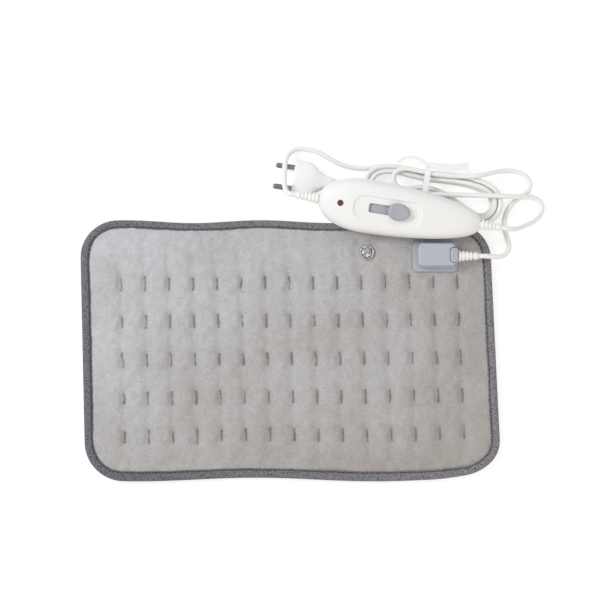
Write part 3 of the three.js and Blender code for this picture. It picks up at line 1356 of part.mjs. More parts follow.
add(assembly, 'plug_cord', cordRun(plugRoute), cordFinish());
add(assembly, 'pad_lead', cordRun(padLeadRoute), cordFinish());
add(assembly, 'cord_tie', tieGeometry(), whitePlastic());

export default assembly;
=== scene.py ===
from bisect import bisect_right
from itertools import accumulate
import math

import bmesh
import bpy
from mathutils import Matrix, Vector, noise
from mathutils.bvhtree import BVHTree


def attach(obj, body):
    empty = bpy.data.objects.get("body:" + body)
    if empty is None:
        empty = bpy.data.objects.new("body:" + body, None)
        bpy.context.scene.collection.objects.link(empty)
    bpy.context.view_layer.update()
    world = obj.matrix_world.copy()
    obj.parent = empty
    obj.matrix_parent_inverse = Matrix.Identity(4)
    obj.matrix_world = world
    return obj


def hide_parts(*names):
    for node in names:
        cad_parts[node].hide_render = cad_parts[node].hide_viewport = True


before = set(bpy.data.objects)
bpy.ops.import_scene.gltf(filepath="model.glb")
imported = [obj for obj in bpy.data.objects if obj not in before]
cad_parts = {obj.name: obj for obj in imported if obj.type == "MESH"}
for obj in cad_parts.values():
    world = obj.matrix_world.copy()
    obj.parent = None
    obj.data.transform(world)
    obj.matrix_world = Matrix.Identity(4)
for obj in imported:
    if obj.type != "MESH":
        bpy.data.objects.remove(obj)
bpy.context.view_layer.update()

scene = bpy.context.scene
MM = 0.001

# Gap between neighbouring pieces
FIT = 0.3

# Pad: a wave has its height, its period and the place of a crest
PAD_LENGTH = 360
PAD_WIDTH = 230
PAD_CORNER = 32
PAD_LEAN = -0.035
FAR_WAVE = (1.3, 120, -20)
NEAR_WAVE = (1.6, 205, 70)
EDGE_DRAW = 1.2
CORNER_SWEEP = 4.4
SWEEP_SPAN = (120, 175)
LAYER_INSET = 1.9
QUILT_HALF = (PAD_LENGTH / 2 - LAYER_INSET, PAD_WIDTH / 2 - LAYER_INSET)
COVER_TOP = 2.2
CARRIER_LEVELS = (2.3, 3.1)
QUILT_BASE = 3.2
RIM_TOP = 6.2
CROWN_TOP = 11.5
CROWN_START = 10.3
CROWN_INSET = 34
RIM_INSET = 6.4
SEAT_DROP = 0.1
SEAT_SLOPE = 5

# Binding tape and its stitches
BINDING_WIDTH = 8.2
BINDING_TOP = 7.6
BINDING_ROLL = 1.1
SEAM_ACROSS = 2.0
FOLD_ACROSS = 11.1
HERRINGBONE_BAND = 2.8
HERRINGBONE_RIB = 1.4
TAPE_WANDER = 0.7
PUCKER = 0.35
STITCH_INSET = 6.6
STITCH_PITCH = 4.2
STITCH_LENGTH = 3.0
STITCH_RADIUS = 0.3

# Tacks
TACK_COLUMNS = 15
TACK_ROWS = 5
TACK_COLUMN_PITCH = 21
TACK_ROW_PITCH = 33.7
TACK_LENGTH = 13
TACK_FIELD = (2.2, -8.7)
TACK_TILT = 0.009
PILLOW_DEPTH = 2.4
PILLOW_SPREAD = 4.4
CHANNEL_SHARE = 0.5
PINCH_DEPTH = 1.8
PINCH_SPREAD = 2.0
BACK_PINCH_DEPTH = 0.9
BACK_PINCH_SPREAD = 1.6
CELLS_ACROSS_COLUMN = 12
CELLS_ACROSS_ROW = 13
THREAD_TURNS = 11
THREAD_SPREAD = 0.8
THREAD_RADIUS = 0.42

# Snap and connector box
SNAP = (68.2, 85)
SNAP_RADIUS = 6.6
SNAP_SEAT = 9.9
BOX = (128.5, 80.5)
BOX_SIZE = (37.2, 28)
BOX_CORNER = 4
BOX_SEAT = 9.2
FLANGE_REACH = 1.6
FLANGE_TRIM = 1.2
BASE_THICKNESS = 2.4
LID_START = -16.4
LID_LENGTH = 33.4
LID_WIDTH = 21.4
LID_SHIFT = 0.5
LID_BASE = BASE_THICKNESS + 0.1
LID_TOP = LID_BASE + 10.2
COLLAR_END = 19.1
COLLAR_SIZE = (7.2, 13)
COLLAR_CORNER = 2.6
COLLAR_TOP = LID_TOP + 0.7
NOTCH_ROOM = 0.35
BOX_AXIS = 7.2

# Controller
CASE_PLACE = (96.6, 118.5, 25)
CASE_HEADING = -9.3
CASE_ROLL = 16
CASE_LENGTH = 143.5
CASE_WIDTH = 47
WIDEST_STATION = 0.293 * CASE_LENGTH
CROWN_STATION = 0.418 * CASE_LENGTH
UPPER_HEIGHT = 13.8
LOWER_DEPTH = 13.5
CASE_WALL = 2
TOP_WALL = 3
CASE_POINTS = 96
KNOB_STATION = 0.495 * CASE_LENGTH
KNOB_SIZE = (20, 15, 4.6)
STEM_SIZE = (8, 6.4)
SLOT = (KNOB_STATION - 26.2, KNOB_STATION + 5.5)
SLOT_WIDTH = 8
SLOT_CORNER = 1.5
RECESS = (SLOT[0] - 13.3, SLOT[1] + 15)
RECESS_WIDTH = 20
RECESS_FLOOR = UPPER_HEIGHT - 1.5
RIDGE_REACH = (9.6, 7.4)
RIDGE_TURN = 62
RIDGE_RADIUS = 0.42
SHUTTER_SPAN = (KNOB_STATION - 27, KNOB_STATION + 22.5)
SHUTTER_HALF = 5.5
SHUTTER_TOP = 10
SHUTTER_RIBS = 7
LAMP_STATION = 0.137 * CASE_LENGTH
LENS_BASE = 7.9
LENS_RADIUS = 2.5
LAMP_HOLE = 2.75
SCREW_PLACES = ((0.265 * CASE_LENGTH, 11), (0.265 * CASE_LENGTH, -11), (0.808 * CASE_LENGTH, 0))
POST_RADIUS = 4.4
SCREW_WELL = 3.0
SCREW_BORE = 1.55

# Boots, plug and cord
BOOT_COLLAR = (4.9, 2)
BOOT_END = 3.0
BOOT_ROUNDS = 0.28
MAINS_RIBS = 5
LEAD_RIBS = 4
PLUG_RIBS = 4
RIB_WIDTH = 1.9
RIB_GAP = 1.3
RIB_PITCH = RIB_GAP + RIB_WIDTH
RIB_DEPTH = 0.9
PLUG_PLACE = (3.9, 152.2, 6.95)
PLUG_HEADING = -8.5
PLUG_SIZE = (34, 32.4, 13.7)
PIN_SPACING = 19
PIN_RADIUS = 2.4
PIN_REACH = 17
PIN_ROOT = 5.5
CORD = 4.4

# Hank and tie
HANK_START = (83, 146)
HANK_RUN = 88
HANK_HEADING = (10, -32)
HANK_STEPS = 24
FOLD_RADIUS = 9.5
WAIST = 2.7
WAIST_SHARE = 3 / 7
STRAND_PITCH = 5.1
LAYER_PITCH = 4.95
STRAND_BASE = 3.5
RUN_SHARE = 7 / 24
REVERSAL = 1.5 + RUN_SHARE / 2
HANK_TURNS = 3.5 + RUN_SHARE
PILE_TOP = STRAND_BASE + LAYER_PITCH + CORD + FIT
TIE_WIDTH = 5
TIE_THICKNESS = 0.7
TIE_ROOM = 0.6
TIE_LOOP = (12.8, 7.9)
TIE_LOOP_MIDDLE = -14.2


def smoothstep(value, low, high):
    """0 up to low, 1 from high on, and a soft rise between them."""
    share = min(max((value - low) / (high - low), 0), 1)
    return share * share * (3 - 2 * share)


def between(low, high, share):
    return low + (high - low) * share


def vary(x, y, layer, rate):
    """Smooth value from -1 to 1 that differs from place to place, and from layer to layer."""
    return noise.noise(Vector((x, y, layer)) * rate)


def through(points, steps):
    """Points on a smooth line through the given ones."""
    vectors = [Vector(point) for point in points]
    ends = [2 * vectors[0] - vectors[1]] + vectors + [2 * vectors[-1] - vectors[-2]]
    line = []
    for k in range(len(vectors) - 1):
        before, start, end, after = ends[k:k + 4]
        for step in range(steps):
            t = step / steps
            line.append(0.5 * (2 * start + (end - before) * t
                               + (2 * before - 5 * start + 4 * end - after) * t ** 2
                               + (3 * start - before - 3 * end + after) * t ** 3))
    return line + [vectors[-1]]


def put(name, data):
    """New object in the scene."""
    obj = bpy.data.objects.new(name, data)
    scene.collection.objects.link(obj)
    return obj


# Camera at the photograph's angle
VIEW_TARGET = Vector((0.0096, 0.0445, 0))
VIEW_ELEVATION = math.radians(80)
VIEW_DISTANCE = 2.4
VIEW_WIDTH = 0.5255
SENSOR = 36

camera_data = bpy.data.cameras.new("camera")
camera_data.sensor_width = SENSOR
camera_data.lens = SENSOR * VIEW_DISTANCE / VIEW_WIDTH
camera = put("camera", camera_data)
towards_camera = Vector((0, -math.cos(VIEW_ELEVATION), math.sin(VIEW_ELEVATION)))
camera.location = VIEW_TARGET + VIEW_DISTANCE * towards_camera
camera.rotation_euler = (math.pi / 2 - VIEW_ELEVATION, 0, 0)
scene.camera = camera


# Materials
def tint(red, green, blue):
    """Linear colour from the 0 to 255 values of a picture."""
    def linear(value):
        share = value / 255
        return share / 12.92 if share <= 0.04045 else ((share + 0.055) / 1.055) ** 2.4
    return (linear(red), linear(green), linear(blue), 1)


def darker(colour, share):
    return tuple(channel * share for channel in colour[:3]) + (1,)


def add_node(tree, kind, inputs=None, **settings):
    """New node with its settings made, and its inputs set or linked."""
    node = tree.nodes.new(kind)
    for name, value in settings.items():
        setattr(node, name, value)
    for socket, value in (inputs or {}).items():
        if isinstance(value, bpy.types.NodeSocket):
            tree.links.new(value, node.inputs[socket])
        else:
            node.inputs[socket].default_value = value
    return node


class Finish:
    """A material, with short words for the nodes that it is made of."""

    def __init__(self, name, roughness, sockets=None):
        self.material = bpy.data.materials.new(name)
        self.material.use_nodes = True
        self.tree = self.material.node_tree
        self.shader = self.tree.nodes["Principled BSDF"]
        for socket, value in {"Roughness": roughness, **(sockets or {})}.items():
            self.shader.inputs[socket].default_value = value
        self.coordinates = self.add("ShaderNodeTexCoord").outputs["Object"]

    def add(self, kind, inputs=None, **settings):
        return add_node(self.tree, kind, inputs, **settings)

    def grain(self, scale, detail=2.0, stretch=(1, 1, 1), roughness=0.5):
        """Cloudy pattern, with its scale in features a metre."""
        mapping = self.add("ShaderNodeMapping", {"Vector": self.coordinates, "Scale": stretch})
        inputs = {"Vector": mapping.outputs[0], "Scale": scale, "Detail": detail, "Roughness": roughness}
        return self.add("ShaderNodeTexNoise", inputs).outputs["Fac"]

    def math(self, operation, one, two=0.0, three=0.0):
        return self.add("ShaderNodeMath", {0: one, 1: two, 2: three}, operation=operation).outputs[0]

    def total(self, *parts):
        """Sum of values, each times its weight."""
        result = 0.0
        for value, weight in parts:
            result = self.math("MULTIPLY_ADD", value, weight, result)
        return result

    def slope(self, along_x, along_y):
        """Value that is 0.5 in the middle of the pad and rises so much a metre along X and Y."""
        place = self.add("ShaderNodeSeparateXYZ", {"Vector": self.coordinates})
        return self.math("ADD", self.total((place.outputs[0], along_x), (place.outputs[1], along_y)), 0.5)

    def shades(self, value, dark, light, low=0.3, high=0.7):
        """Two colours, from dark to light as a value goes from low to high."""
        ramp = self.add("ShaderNodeValToRGB", {"Fac": value})
        for end, position, colour in zip(ramp.color_ramp.elements, (low, high), (dark, light)):
            end.position = position
            end.color = colour
        return ramp.outputs["Color"]

    def times(self, one, two):
        """One colour multiplied by another."""
        inputs = {0: 1.0, 6: one, 7: two}
        return self.add("ShaderNodeMix", inputs, data_type="RGBA", blend_type="MULTIPLY").outputs[2]

    def feed(self, socket, value):
        self.tree.links.new(value, self.shader.inputs[socket])

    def rough(self, value, low, high):
        spread = self.add("ShaderNodeMapRange", {"Value": value, "To Min": low, "To Max": high})
        self.feed("Roughness", spread.outputs[0])

    def bump(self, height, strength, distance):
        inputs = {"Height": height, "Strength": strength, "Distance": distance}
        self.feed("Normal", self.add("ShaderNodeBump", inputs).outputs[0])


WHITE_LIGHT = (1, 1, 1, 1)


def fleece_finish(name, dark, light):
    """Brushed fleece: clumps of pile, fine fibre, a slow random drift of tone, and painted light that leaves
    it lighter at the far left and darker and warmer towards the near right.
    """
    fleece = Finish(name, 1.0, {"Specular IOR Level": 0.1, "Sheen Weight": 0.25, "Sheen Roughness": 0.6})
    clumps = fleece.grain(420, 3, (1, 1.6, 1), 0.65)
    fibre = fleece.grain(1500, 2)
    nap = fleece.grain(105, 3, (1.5, 1, 1), 0.6)
    pile = fleece.total((clumps, 0.5), (fibre, 0.2), (nap, 0.3))
    # painted light: a slope that is lighter at the far left and darker and warmer towards the near right,
    # mixed with a random drift of tone
    drift_and_painted_light = fleece.total((fleece.grain(16, 2), 0.5), (fleece.slope(-1.4, 2.3), 0.5))
    tone_and_painted_light = fleece.shades(drift_and_painted_light, tint(219, 212, 203), WHITE_LIGHT, 0.25, 0.75)
    fleece.feed("Base Color", fleece.times(fleece.shades(pile, dark, light), tone_and_painted_light))
    fleece.bump(pile, 0.6, 0.0012)
    return fleece.material


def tape_finish():
    """Herringbone tape: slanting ribs that turn back at each band, darker at its seam and fold with painted
    shade, and painted light that makes it paler to the right.
    """
    tape = Finish("woven_tape", 0.95, {"Specular IOR Level": 0.15, "Sheen Weight": 0.15})
    place = tape.add("ShaderNodeSeparateXYZ", {"Vector": tape.add("ShaderNodeUVMap").outputs[0]})
    along, across = (tape.math("MULTIPLY", place.outputs[axis], 1 / MM) for axis in (0, 1))
    slant = tape.math("ADD", along, tape.math("PINGPONG", across, HERRINGBONE_BAND))
    ribs = tape.math("PINGPONG", slant, HERRINGBONE_RIB)
    fleck = tape.grain(520, 3, roughness=0.8)
    weave = tape.total((ribs, 0.2), (fleck, 1.5))
    cloth = tape.shades(weave, tint(40, 40, 42), tint(154, 153, 157), 0.5, 1)
    # darker along the seam, partly its dark stitching and partly painted shade in the seam's valley, and
    # painted shade on the fold round the outer edge
    seam, fold = (tape.math("ABSOLUTE", tape.math("SUBTRACT", across, line))
                  for line in (SEAM_ACROSS, FOLD_ACROSS))
    lines = tape.math("MINIMUM", tape.math("MULTIPLY", seam, 1.2), tape.math("MULTIPLY", fold, 0.5))
    seam_and_fold_painted_shade = tape.shades(lines, tint(176, 176, 178), WHITE_LIGHT, 0.2, 0.95)
    # painted light: the tape is made paler towards the right and the far side
    painted_light_to_right = tape.shades(tape.slope(2.3, 0.8), tint(202, 204, 208), WHITE_LIGHT, 0, 1)
    tape.feed("Base Color", tape.times(tape.times(cloth, seam_and_fold_painted_shade), painted_light_to_right))
    tape.bump(weave, 0.9, 0.0008)
    return tape.material


def plastic_finish(name, colour, roughness, spread=0.03, sockets=None):
    """Moulded plastic: a fine spark-eroded grain, with tone and gloss that drift a little."""
    plastic = Finish(name, roughness, sockets)
    fine = plastic.grain(1400, 2)
    slow = plastic.grain(45, 2)
    plastic.feed("Base Color", plastic.shades(slow, darker(colour, 1 - spread), colour))
    plastic.rough(slow, roughness * 0.9, roughness * 1.15)
    plastic.bump(fine, 0.06, 0.0001)
    return plastic.material


def metal_finish(name, colour, roughness, mottle=260, dents=0.12, dullest=0.6):
    """Plated metal with a fine grain and a few dull places."""
    metal = Finish(name, roughness, {"Metallic": 1.0})
    grain = metal.grain(2600, 2)
    dull = metal.grain(mottle, 3)
    metal.feed("Base Color", metal.shades(dull, darker(colour, dullest), colour))
    metal.rough(dull, roughness * 0.75, roughness * 1.4)
    metal.bump(metal.total((grain, 0.2), (dull, 1.0)), dents, 0.0004)
    return metal.material


def thread_finish(name, dark, light):
    """Sewing thread: fine twisted strands."""
    thread = Finish(name, 0.9, {"Specular IOR Level": 0.15})
    strands = thread.grain(3200, 2, (1, 2, 1))
    thread.feed("Base Color", thread.shades(strands, dark, light))
    thread.bump(strands, 0.4, 0.0002)
    return thread.material


def board_finish():
    """Circuit laminate: green resin over a fine glass weave."""
    board = Finish("circuit_laminate", 0.45)
    weave = board.grain(900, 1, (1, 6, 1))
    board.feed("Base Color", board.shades(weave, tint(38, 84, 50), tint(66, 118, 74)))
    board.bump(weave, 0.15, 0.0001)
    return board.material


FLEECE = fleece_finish("grey_fleece", tint(170, 170, 173), tint(208, 208, 212))
BACK_FLEECE = fleece_finish("back_fleece", tint(148, 147, 149), tint(194, 193, 195))
FELT = fleece_finish("carrier_felt", tint(196, 193, 186), tint(228, 225, 217))
TAPE = tape_finish()
TAPE_THREAD = thread_finish("tape_thread", tint(58, 59, 64), tint(104, 106, 112))
# The tack thread is a darker grey than the fleece: painted shade of the pinch it lies in.
TACK_THREAD = thread_finish("tack_thread", tint(106, 102, 100), tint(146, 141, 138))
WHITE = plastic_finish("white_plastic", tint(241, 241, 240), 0.45, sockets={"Specular IOR Level": 0.3})
PLUG_WHITE = plastic_finish("plug_plastic", tint(248, 247, 247), 0.45)
GREY = plastic_finish("grey_plastic", tint(171, 172, 178), 0.42, spread=0.08)
STRIP_GREY = plastic_finish("shutter_plastic", tint(190, 192, 198), 0.5, spread=0.08)
BOX_GREY = plastic_finish("box_plastic", tint(178, 184, 193), 0.38, spread=0.05)
FLANGE_GREY = plastic_finish("flange_plastic", tint(174, 178, 184), 0.45, spread=0.06)
RUBBER = plastic_finish("boot_rubber", tint(247, 246, 243), 0.55)
CORD_WHITE = plastic_finish("cord_sheath", tint(244, 244, 241), 0.42)
TIE_WHITE = plastic_finish("tie_plastic", tint(245, 245, 246), 0.3)
DARK = plastic_finish("dark_plastic", tint(58, 59, 62), 0.55, spread=0.2)
AMBER = plastic_finish("capacitor_film", tint(156, 90, 52), 0.5, spread=0.15)
CERAMIC = plastic_finish("resistor_ceramic", tint(184, 162, 124), 0.7, spread=0.15)
LENS = plastic_finish("lamp_lens", tint(90, 22, 26), 0.12, spread=0.25, sockets={"Coat Weight": 0.4})
STEEL = metal_finish("plated_steel", tint(196, 197, 199), 0.28)
PIN_STEEL = metal_finish("pin_steel", tint(146, 147, 150), 0.2, dullest=0.45)
SNAP_STEEL = metal_finish("snap_steel", tint(212, 212, 210), 0.16, mottle=520, dents=0.9, dullest=0.2)
BRASS = metal_finish("brass", tint(196, 168, 96), 0.35)
COPPER = metal_finish("copper_wire", tint(188, 122, 84), 0.4)
BOARD = board_finish()

CAD_FINISHES = {
    COPPER: ["heating_wire", "mains_wire_1", "mains_wire_2", "pad_wire_1", "pad_wire_2"],
    STEEL: ["snap_post", "thermal_fuse", "fuse", "case_screw_1", "case_screw_2", "case_screw_3"],
    DARK: ["terminal_block", "switch_carriage", "switch_tray", "mains_terminals", "pad_terminals", "triac"],
    BRASS: ["terminal_screw_1", "terminal_screw_2", "contact_leaf"],
    BOARD: ["circuit_board"],
    AMBER: ["capacitor"],
    CERAMIC: ["resistor"],
    LENS: ["indicator_lamp"],
}
for material, nodes in CAD_FINISHES.items():
    for node in nodes:
        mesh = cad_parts[node].data
        mesh.materials.clear()
        mesh.materials.append(material)


# Making of pieces
def placed_mesh(name, bm, place=None):
    """Mesh in metres from a bmesh in millimetres, put in its place and with its faces outwards."""
    if place is not None:
        bmesh.ops.transform(bm, matrix=place, verts=bm.verts)
    bmesh.ops.scale(bm, vec=(MM, MM, MM), verts=bm.verts)
    bmesh.ops.recalc_face_normals(bm, faces=bm.faces)
    mesh = bpy.data.meshes.new(name)
    bm.to_mesh(mesh)
    bm.free()
    return mesh


def piece(name, bm, material, slot, replaces=(), body="pad", sharp=40, place=None):
    """Object from a bmesh, set to ride on a body. Edges sharper than so many degrees stay sharp."""
    mesh = placed_mesh(name, bm, place)
    mesh.shade_smooth()
    if sharp < 180:
        mesh.set_sharp_from_angle(angle=math.radians(sharp))
    mesh.materials.append(material)
    obj = put(name, mesh)
    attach(obj, body)
    if replaces:
        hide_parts(*replaces)
    return obj


def soften(obj):
    """Subdivision surface over a finished piece."""
    modifier = obj.modifiers.new("soften", "SUBSURF")
    modifier.levels = 1
    modifier.render_levels = 1


def round_edges(obj, width, angle=35):
    """Small rounds on a finished piece's edges."""
    modifier = obj.modifiers.new("rounds", "BEVEL")
    modifier.width = width * MM
    modifier.segments = 2
    modifier.limit_method = "ANGLE"
    modifier.angle_limit = math.radians(angle)
    modifier.harden_normals = False


def loop_edges(loop):
    """Edges from each vertex of a ring to the next."""
    return [next(edge for edge in vert.link_edges if edge.other_vert(vert) == after)
            for vert, after in zip(loop, loop[1:] + loop[:1])]


LONGEST_FACE = 60


def fill(bm, edges):
    """Closes a ring of edges: one face, or triangles where the ring is long."""
    if len(edges) > LONGEST_FACE:
        bmesh.ops.triangle_fill(bm, edges=edges, use_beauty=True)
    else:
        bmesh.ops.contextual_create(bm, geom=edges)


def made_verts(result):
    return [item for item in result["geom"] if isinstance(item, bmesh.types.BMVert)]


def loft(bm, rings, closed=False):
    """Skin through rings of points: a circle laid on the first ring and extruded from ring to ring."""
    loop = bmesh.ops.create_circle(bm, segments=len(rings[0]), radius=1)["verts"]
    for vert, point in zip(loop, rings[0]):
        vert.co = point
    loops = [loop]
    for points in rings[1:]:
        fresh = set(made_verts(bmesh.ops.extrude_edge_only(bm, edges=loop_edges(loop))))
        loop = [next(edge.other_vert(vert) for edge in vert.link_edges if edge.other_vert(vert) in fresh)
                for vert in loop]
        for vert, point in zip(loop, points):
            vert.co = point
        loops.append(loop)
    if closed:
        bmesh.ops.bridge_loops(bm, edges=loop_edges(loops[-1]) + loop_edges(loops[0]))
    else:
        for end in (loops[0], loops[-1]):
            fill(bm, loop_edges(end))
    return loops


def lofted(name, rings, material, slot, replaces=(), closed=False, **ways):
    """Piece with a skin through rings of points."""
    bm = bmesh.new()
    loft(bm, rings, closed)
    return piece(name, bm, material, slot, replaces, **ways)


def spun(name, profile, steps, material, slot, replaces, **ways):
    """Piece turned about X from (reach, radius) pairs."""
    bm = bmesh.new()
    verts = [bm.verts.new((reach, radius, 0)) for reach, radius in profile]
    edges = [bm.edges.new(pair) for pair in zip(verts, verts[1:])]
    bmesh.ops.spin(bm, geom=verts + edges, cent=(0, 0, 0), axis=(1, 0, 0), angle=2 * math.pi,
                   steps=steps, use_merge=True)
    bmesh.ops.remove_doubles(bm, verts=bm.verts, dist=1e-4)
    return piece(name, bm, material, slot, replaces, **ways)


def block(bm, size, middle):
    """Box added to a bmesh."""
    verts = bmesh.ops.create_cube(bm, size=1)["verts"]
    bmesh.ops.scale(bm, vec=size, verts=verts)
    bmesh.ops.translate(bm, vec=middle, verts=verts)


def direction_at(line, k):
    """Way that a line of points runs at one of them."""
    return (line[min(k + 1, len(line) - 1)] - line[max(k - 1, 0)]).normalized()


def tube_rings(points, radius, sides):
    """Rings round a line of points, for a thread or a wire."""
    rings = []
    across = Vector((0, 0, 1))
    for k, point in enumerate(points):
        along = direction_at(points, k)
        if k == 0 and abs(along.z) > 0.9:
            across = Vector((1, 0, 0))
        across = (across - along * across.dot(along)).normalized()
        up = along.cross(across)
        rings.append([point + radius * (math.cos(a) * across + math.sin(a) * up)
                      for a in (2 * math.pi * side / sides for side in range(sides))])
    return rings


CORNERS = ((1, -1), (1, 1), (-1, 1), (-1, -1))


def rounded(length, width, corner, steps=6):
    """Points round a rectangle with rounded corners."""
    points = []
    for quarter, (right, up) in enumerate(CORNERS):
        for step in range(steps + 1):
            angle = math.pi / 2 * (quarter - 1 + step / steps)
            points.append((right * (length / 2 - corner) + corner * math.cos(angle),
                           up * (width / 2 - corner) + corner * math.sin(angle)))
    return points


# Places
def rotation(degrees, axis):
    return Matrix.Rotation(math.radians(degrees), 4, axis)


upright = rotation(-90, "Y")
case_frame = (Matrix.Translation(CASE_PLACE) @ rotation(CASE_HEADING, "Z") @ rotation(CASE_ROLL, "X")
              @ Matrix.Translation((-CASE_LENGTH / 2, 0, 0)))
box_frame = Matrix.Translation((*BOX, BOX_SEAT + FIT))
plug_frame = Matrix.Translation(PLUG_PLACE) @ rotation(PLUG_HEADING, "Z")
plug_boot_end = PLUG_SIZE[0] + FIT + PLUG_RIBS * RIB_PITCH + RIB_GAP


def boot_reach(ribs):
    return FIT + BOOT_COLLAR[1] + ribs * RIB_PITCH + 2 * RIB_GAP


# Holes and bosses
def tool_object(bm, place):
    """Object that another is joined to or cut with."""
    return put("tool", placed_mesh("tool", bm, place))


def rod_tool(radius, low, high, station, side):
    """Upright bar in the case's frame, for a hole or a boss."""
    bm = bmesh.new()
    bmesh.ops.create_cone(bm, cap_ends=True, segments=32, radius1=radius, radius2=radius, depth=high - low)
    bmesh.ops.translate(bm, vec=(station, side, (low + high) / 2), verts=bm.verts)
    return tool_object(bm, case_frame)


def carve(obj, steps, material=WHITE, smooth=True):
    """Smooths a piece, joins bosses to it and cuts holes in it, and keeps the result in its mesh."""
    if smooth:
        soften(obj)
    for operation, tool in steps:
        modifier = obj.modifiers.new("carve", "BOOLEAN")
        modifier.operation = operation
        modifier.solver = "EXACT"
        modifier.object = tool
    finished = bpy.data.meshes.new_from_object(obj.evaluated_get(bpy.context.evaluated_depsgraph_get()))
    obj.modifiers.clear()
    obj.data = finished
    finished.materials.clear()
    finished.materials.append(material)
    finished.shade_smooth()
    finished.set_sharp_from_angle(angle=math.radians(32))
    for _, tool in steps:
        bpy.data.objects.remove(tool)


# Cords
def lead_out(place, reach, height, toward):
    """Two points that take a cord straight off a boot."""
    return [place @ Vector((reach + toward * step, 0, height)) for step in (FIT, FIT + CORD)]


def spine_at(share):
    """Middle line of the hank, a gentle arc, with its heading."""
    first, last = (math.radians(heading) for heading in HANK_HEADING)
    heading = between(first, last, share)
    bend = (last - first) / HANK_RUN
    return (HANK_START[0] + (math.sin(heading) - math.sin(first)) / bend,
            HANK_START[1] - (math.cos(heading) - math.cos(first)) / bend, heading)


def beside_spine(share, forward, left, z):
    x, y, heading = spine_at(share)
    return Vector((x + forward * math.cos(heading) - left * math.sin(heading),
                   y + forward * math.sin(heading) + left * math.cos(heading), z))


def inner_offset(share):
    """Distance of the innermost strand from the middle line, least at the waist."""
    beyond = 1 - share / WAIST_SHARE if share < WAIST_SHARE else (share - WAIST_SHARE) / (1 - WAIST_SHARE)
    return between(WAIST, FOLD_RADIUS, smoothstep(beyond, 0, 1))


def hank_point(turn):
    """Point of the hank after a number of turns: in on the lower layer and out on the upper one."""
    phase = turn % 1
    strand = abs(turn - REVERSAL) * STRAND_PITCH
    climb = min(max((turn - REVERSAL) / RUN_SHARE + 0.5, 0), 1)
    z = STRAND_BASE + climb * LAYER_PITCH
    far = phase < 0.5
    within = phase if far else phase - 0.5
    side = 1 if far else -1
    if within <= RUN_SHARE:
        share = within / RUN_SHARE if far else 1 - within / RUN_SHARE
        return beside_spine(share, 0, side * (inner_offset(share) + strand), z)
    angle = math.pi * (within - RUN_SHARE) / (0.5 - RUN_SHARE)
    radius = FOLD_RADIUS + strand
    return beside_spine(1 if far else 0, side * radius * math.sin(angle), side * radius * math.cos(angle), z)


MAINS_MIDDLE = [
    (-2.4, 137.4, 23.0), (-3.8, 142.4, 20.2), (-4.0, 148, 17.2), (-4.0, 154.5, 14.7), (-3.8, 161, 13.0),
    (-3.0, 167, 11.4), (-0.8, 172.5, 8.2), (2.8, 176.9, 5.2), (8.4, 179.4, 3.3), (16.5, 179.2, 2.6),
    (24.6, 176.9, 2.6), (33, 172.4, 2.6), (41.8, 167.4, 2.6), (51, 163.9, 2.7), (61, 162.1, 3.0),
    (69, 162.0, 3.4),
]
PLUG_MIDDLE = [(75.4, 126.0, 8.1), (69.2, 129.8, 7.6), (65.4, 135.4, 7.2), (62.2, 140.4, 7.0)]
PAD_LEAD_MIDDLE = [
    (198, 103.9, 20.6), (207, 108.4, 13.8), (216.4, 114.4, 7.2), (221.4, 121.0, 3.4), (222.5, 127.6, 2.6),
    (219.6, 132.9, 3.0), (212.4, 135.4, 5.0), (203, 135.2, 8.2), (194, 134.9, 11.4),
    (184, 135.0, PILE_TOP), (160, 135.5, PILE_TOP), (138, 136, PILE_TOP), (123, 136.6, PILE_TOP),
    (108, 139, PILE_TOP), (100.5, 140.6, PILE_TOP), (94.2, 144.2, PILE_TOP), (91.6, 150.2, PILE_TOP),
    (94.2, 156.4, PILE_TOP), (101, 159.2, PILE_TOP), (112, 157.6, PILE_TOP), (123, 155.2, PILE_TOP),
    (140, 153.2, PILE_TOP), (156, 152.4, PILE_TOP), (166, 153.0, PILE_TOP), (176, 155.8, 9.6),
    (189.2, 159.2, 5.0), (200.4, 158.8, 2.8), (207.8, 155.2, 2.6), (212, 149, 2.6), (211.3, 143.2, 2.6),
    (207.4, 138.6, 2.6), (201.5, 134.4, 2.6), (195.8, 129.4, 2.6), (191.8, 123.2, 2.6), (189.5, 115.2, 2.6),
    (189.6, 106.5, 2.6), (192, 97.5, 3.0), (192.8, 90.4, 4.6), (189.6, 83.8, 8.0), (183.4, 80.8, 11.6),
    (177, 80.5, 14.6),
]

wound = [hank_point(k / HANK_STEPS) for k in range(round(HANK_TURNS * HANK_STEPS) + 1)]
mains_route = (lead_out(case_frame, -boot_reach(MAINS_RIBS), 0, -1)
               + [Vector(point) for point in MAINS_MIDDLE]
               + wound
               + [Vector(point) for point in PLUG_MIDDLE]
               + lead_out(plug_frame, plug_boot_end, 0, 1)[::-1])
pad_lead_route = (lead_out(case_frame, CASE_LENGTH + boot_reach(LEAD_RIBS), 0, 1)
                  + [Vector(point) for point in PAD_LEAD_MIDDLE]
                  + lead_out(box_frame, COLLAR_END + boot_reach(LEAD_RIBS), BOX_AXIS, 1)[::-1])


def cord_piece(name, route, replaces):
    """Round cord on one smooth spline through its route."""
    curve = bpy.data.curves.new(name, "CURVE")
    curve.dimensions = "3D"
    curve.bevel_depth = CORD / 2 * MM
    curve.bevel_resolution = 4
    curve.resolution_u = 6
    curve.use_fill_caps = True
    spline = curve.splines.new("BEZIER")
    spline.bezier_points.add(len(route) - 1)
    for knot, point in zip(spline.bezier_points, route):
        knot.co = point * MM
        knot.handle_left_type = "AUTO"
        knot.handle_right_type = "AUTO"
    curve.materials.append(CORD_WHITE)
    obj = put(name, curve)
    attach(obj, "pad")
    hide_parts(*replaces)
    return obj


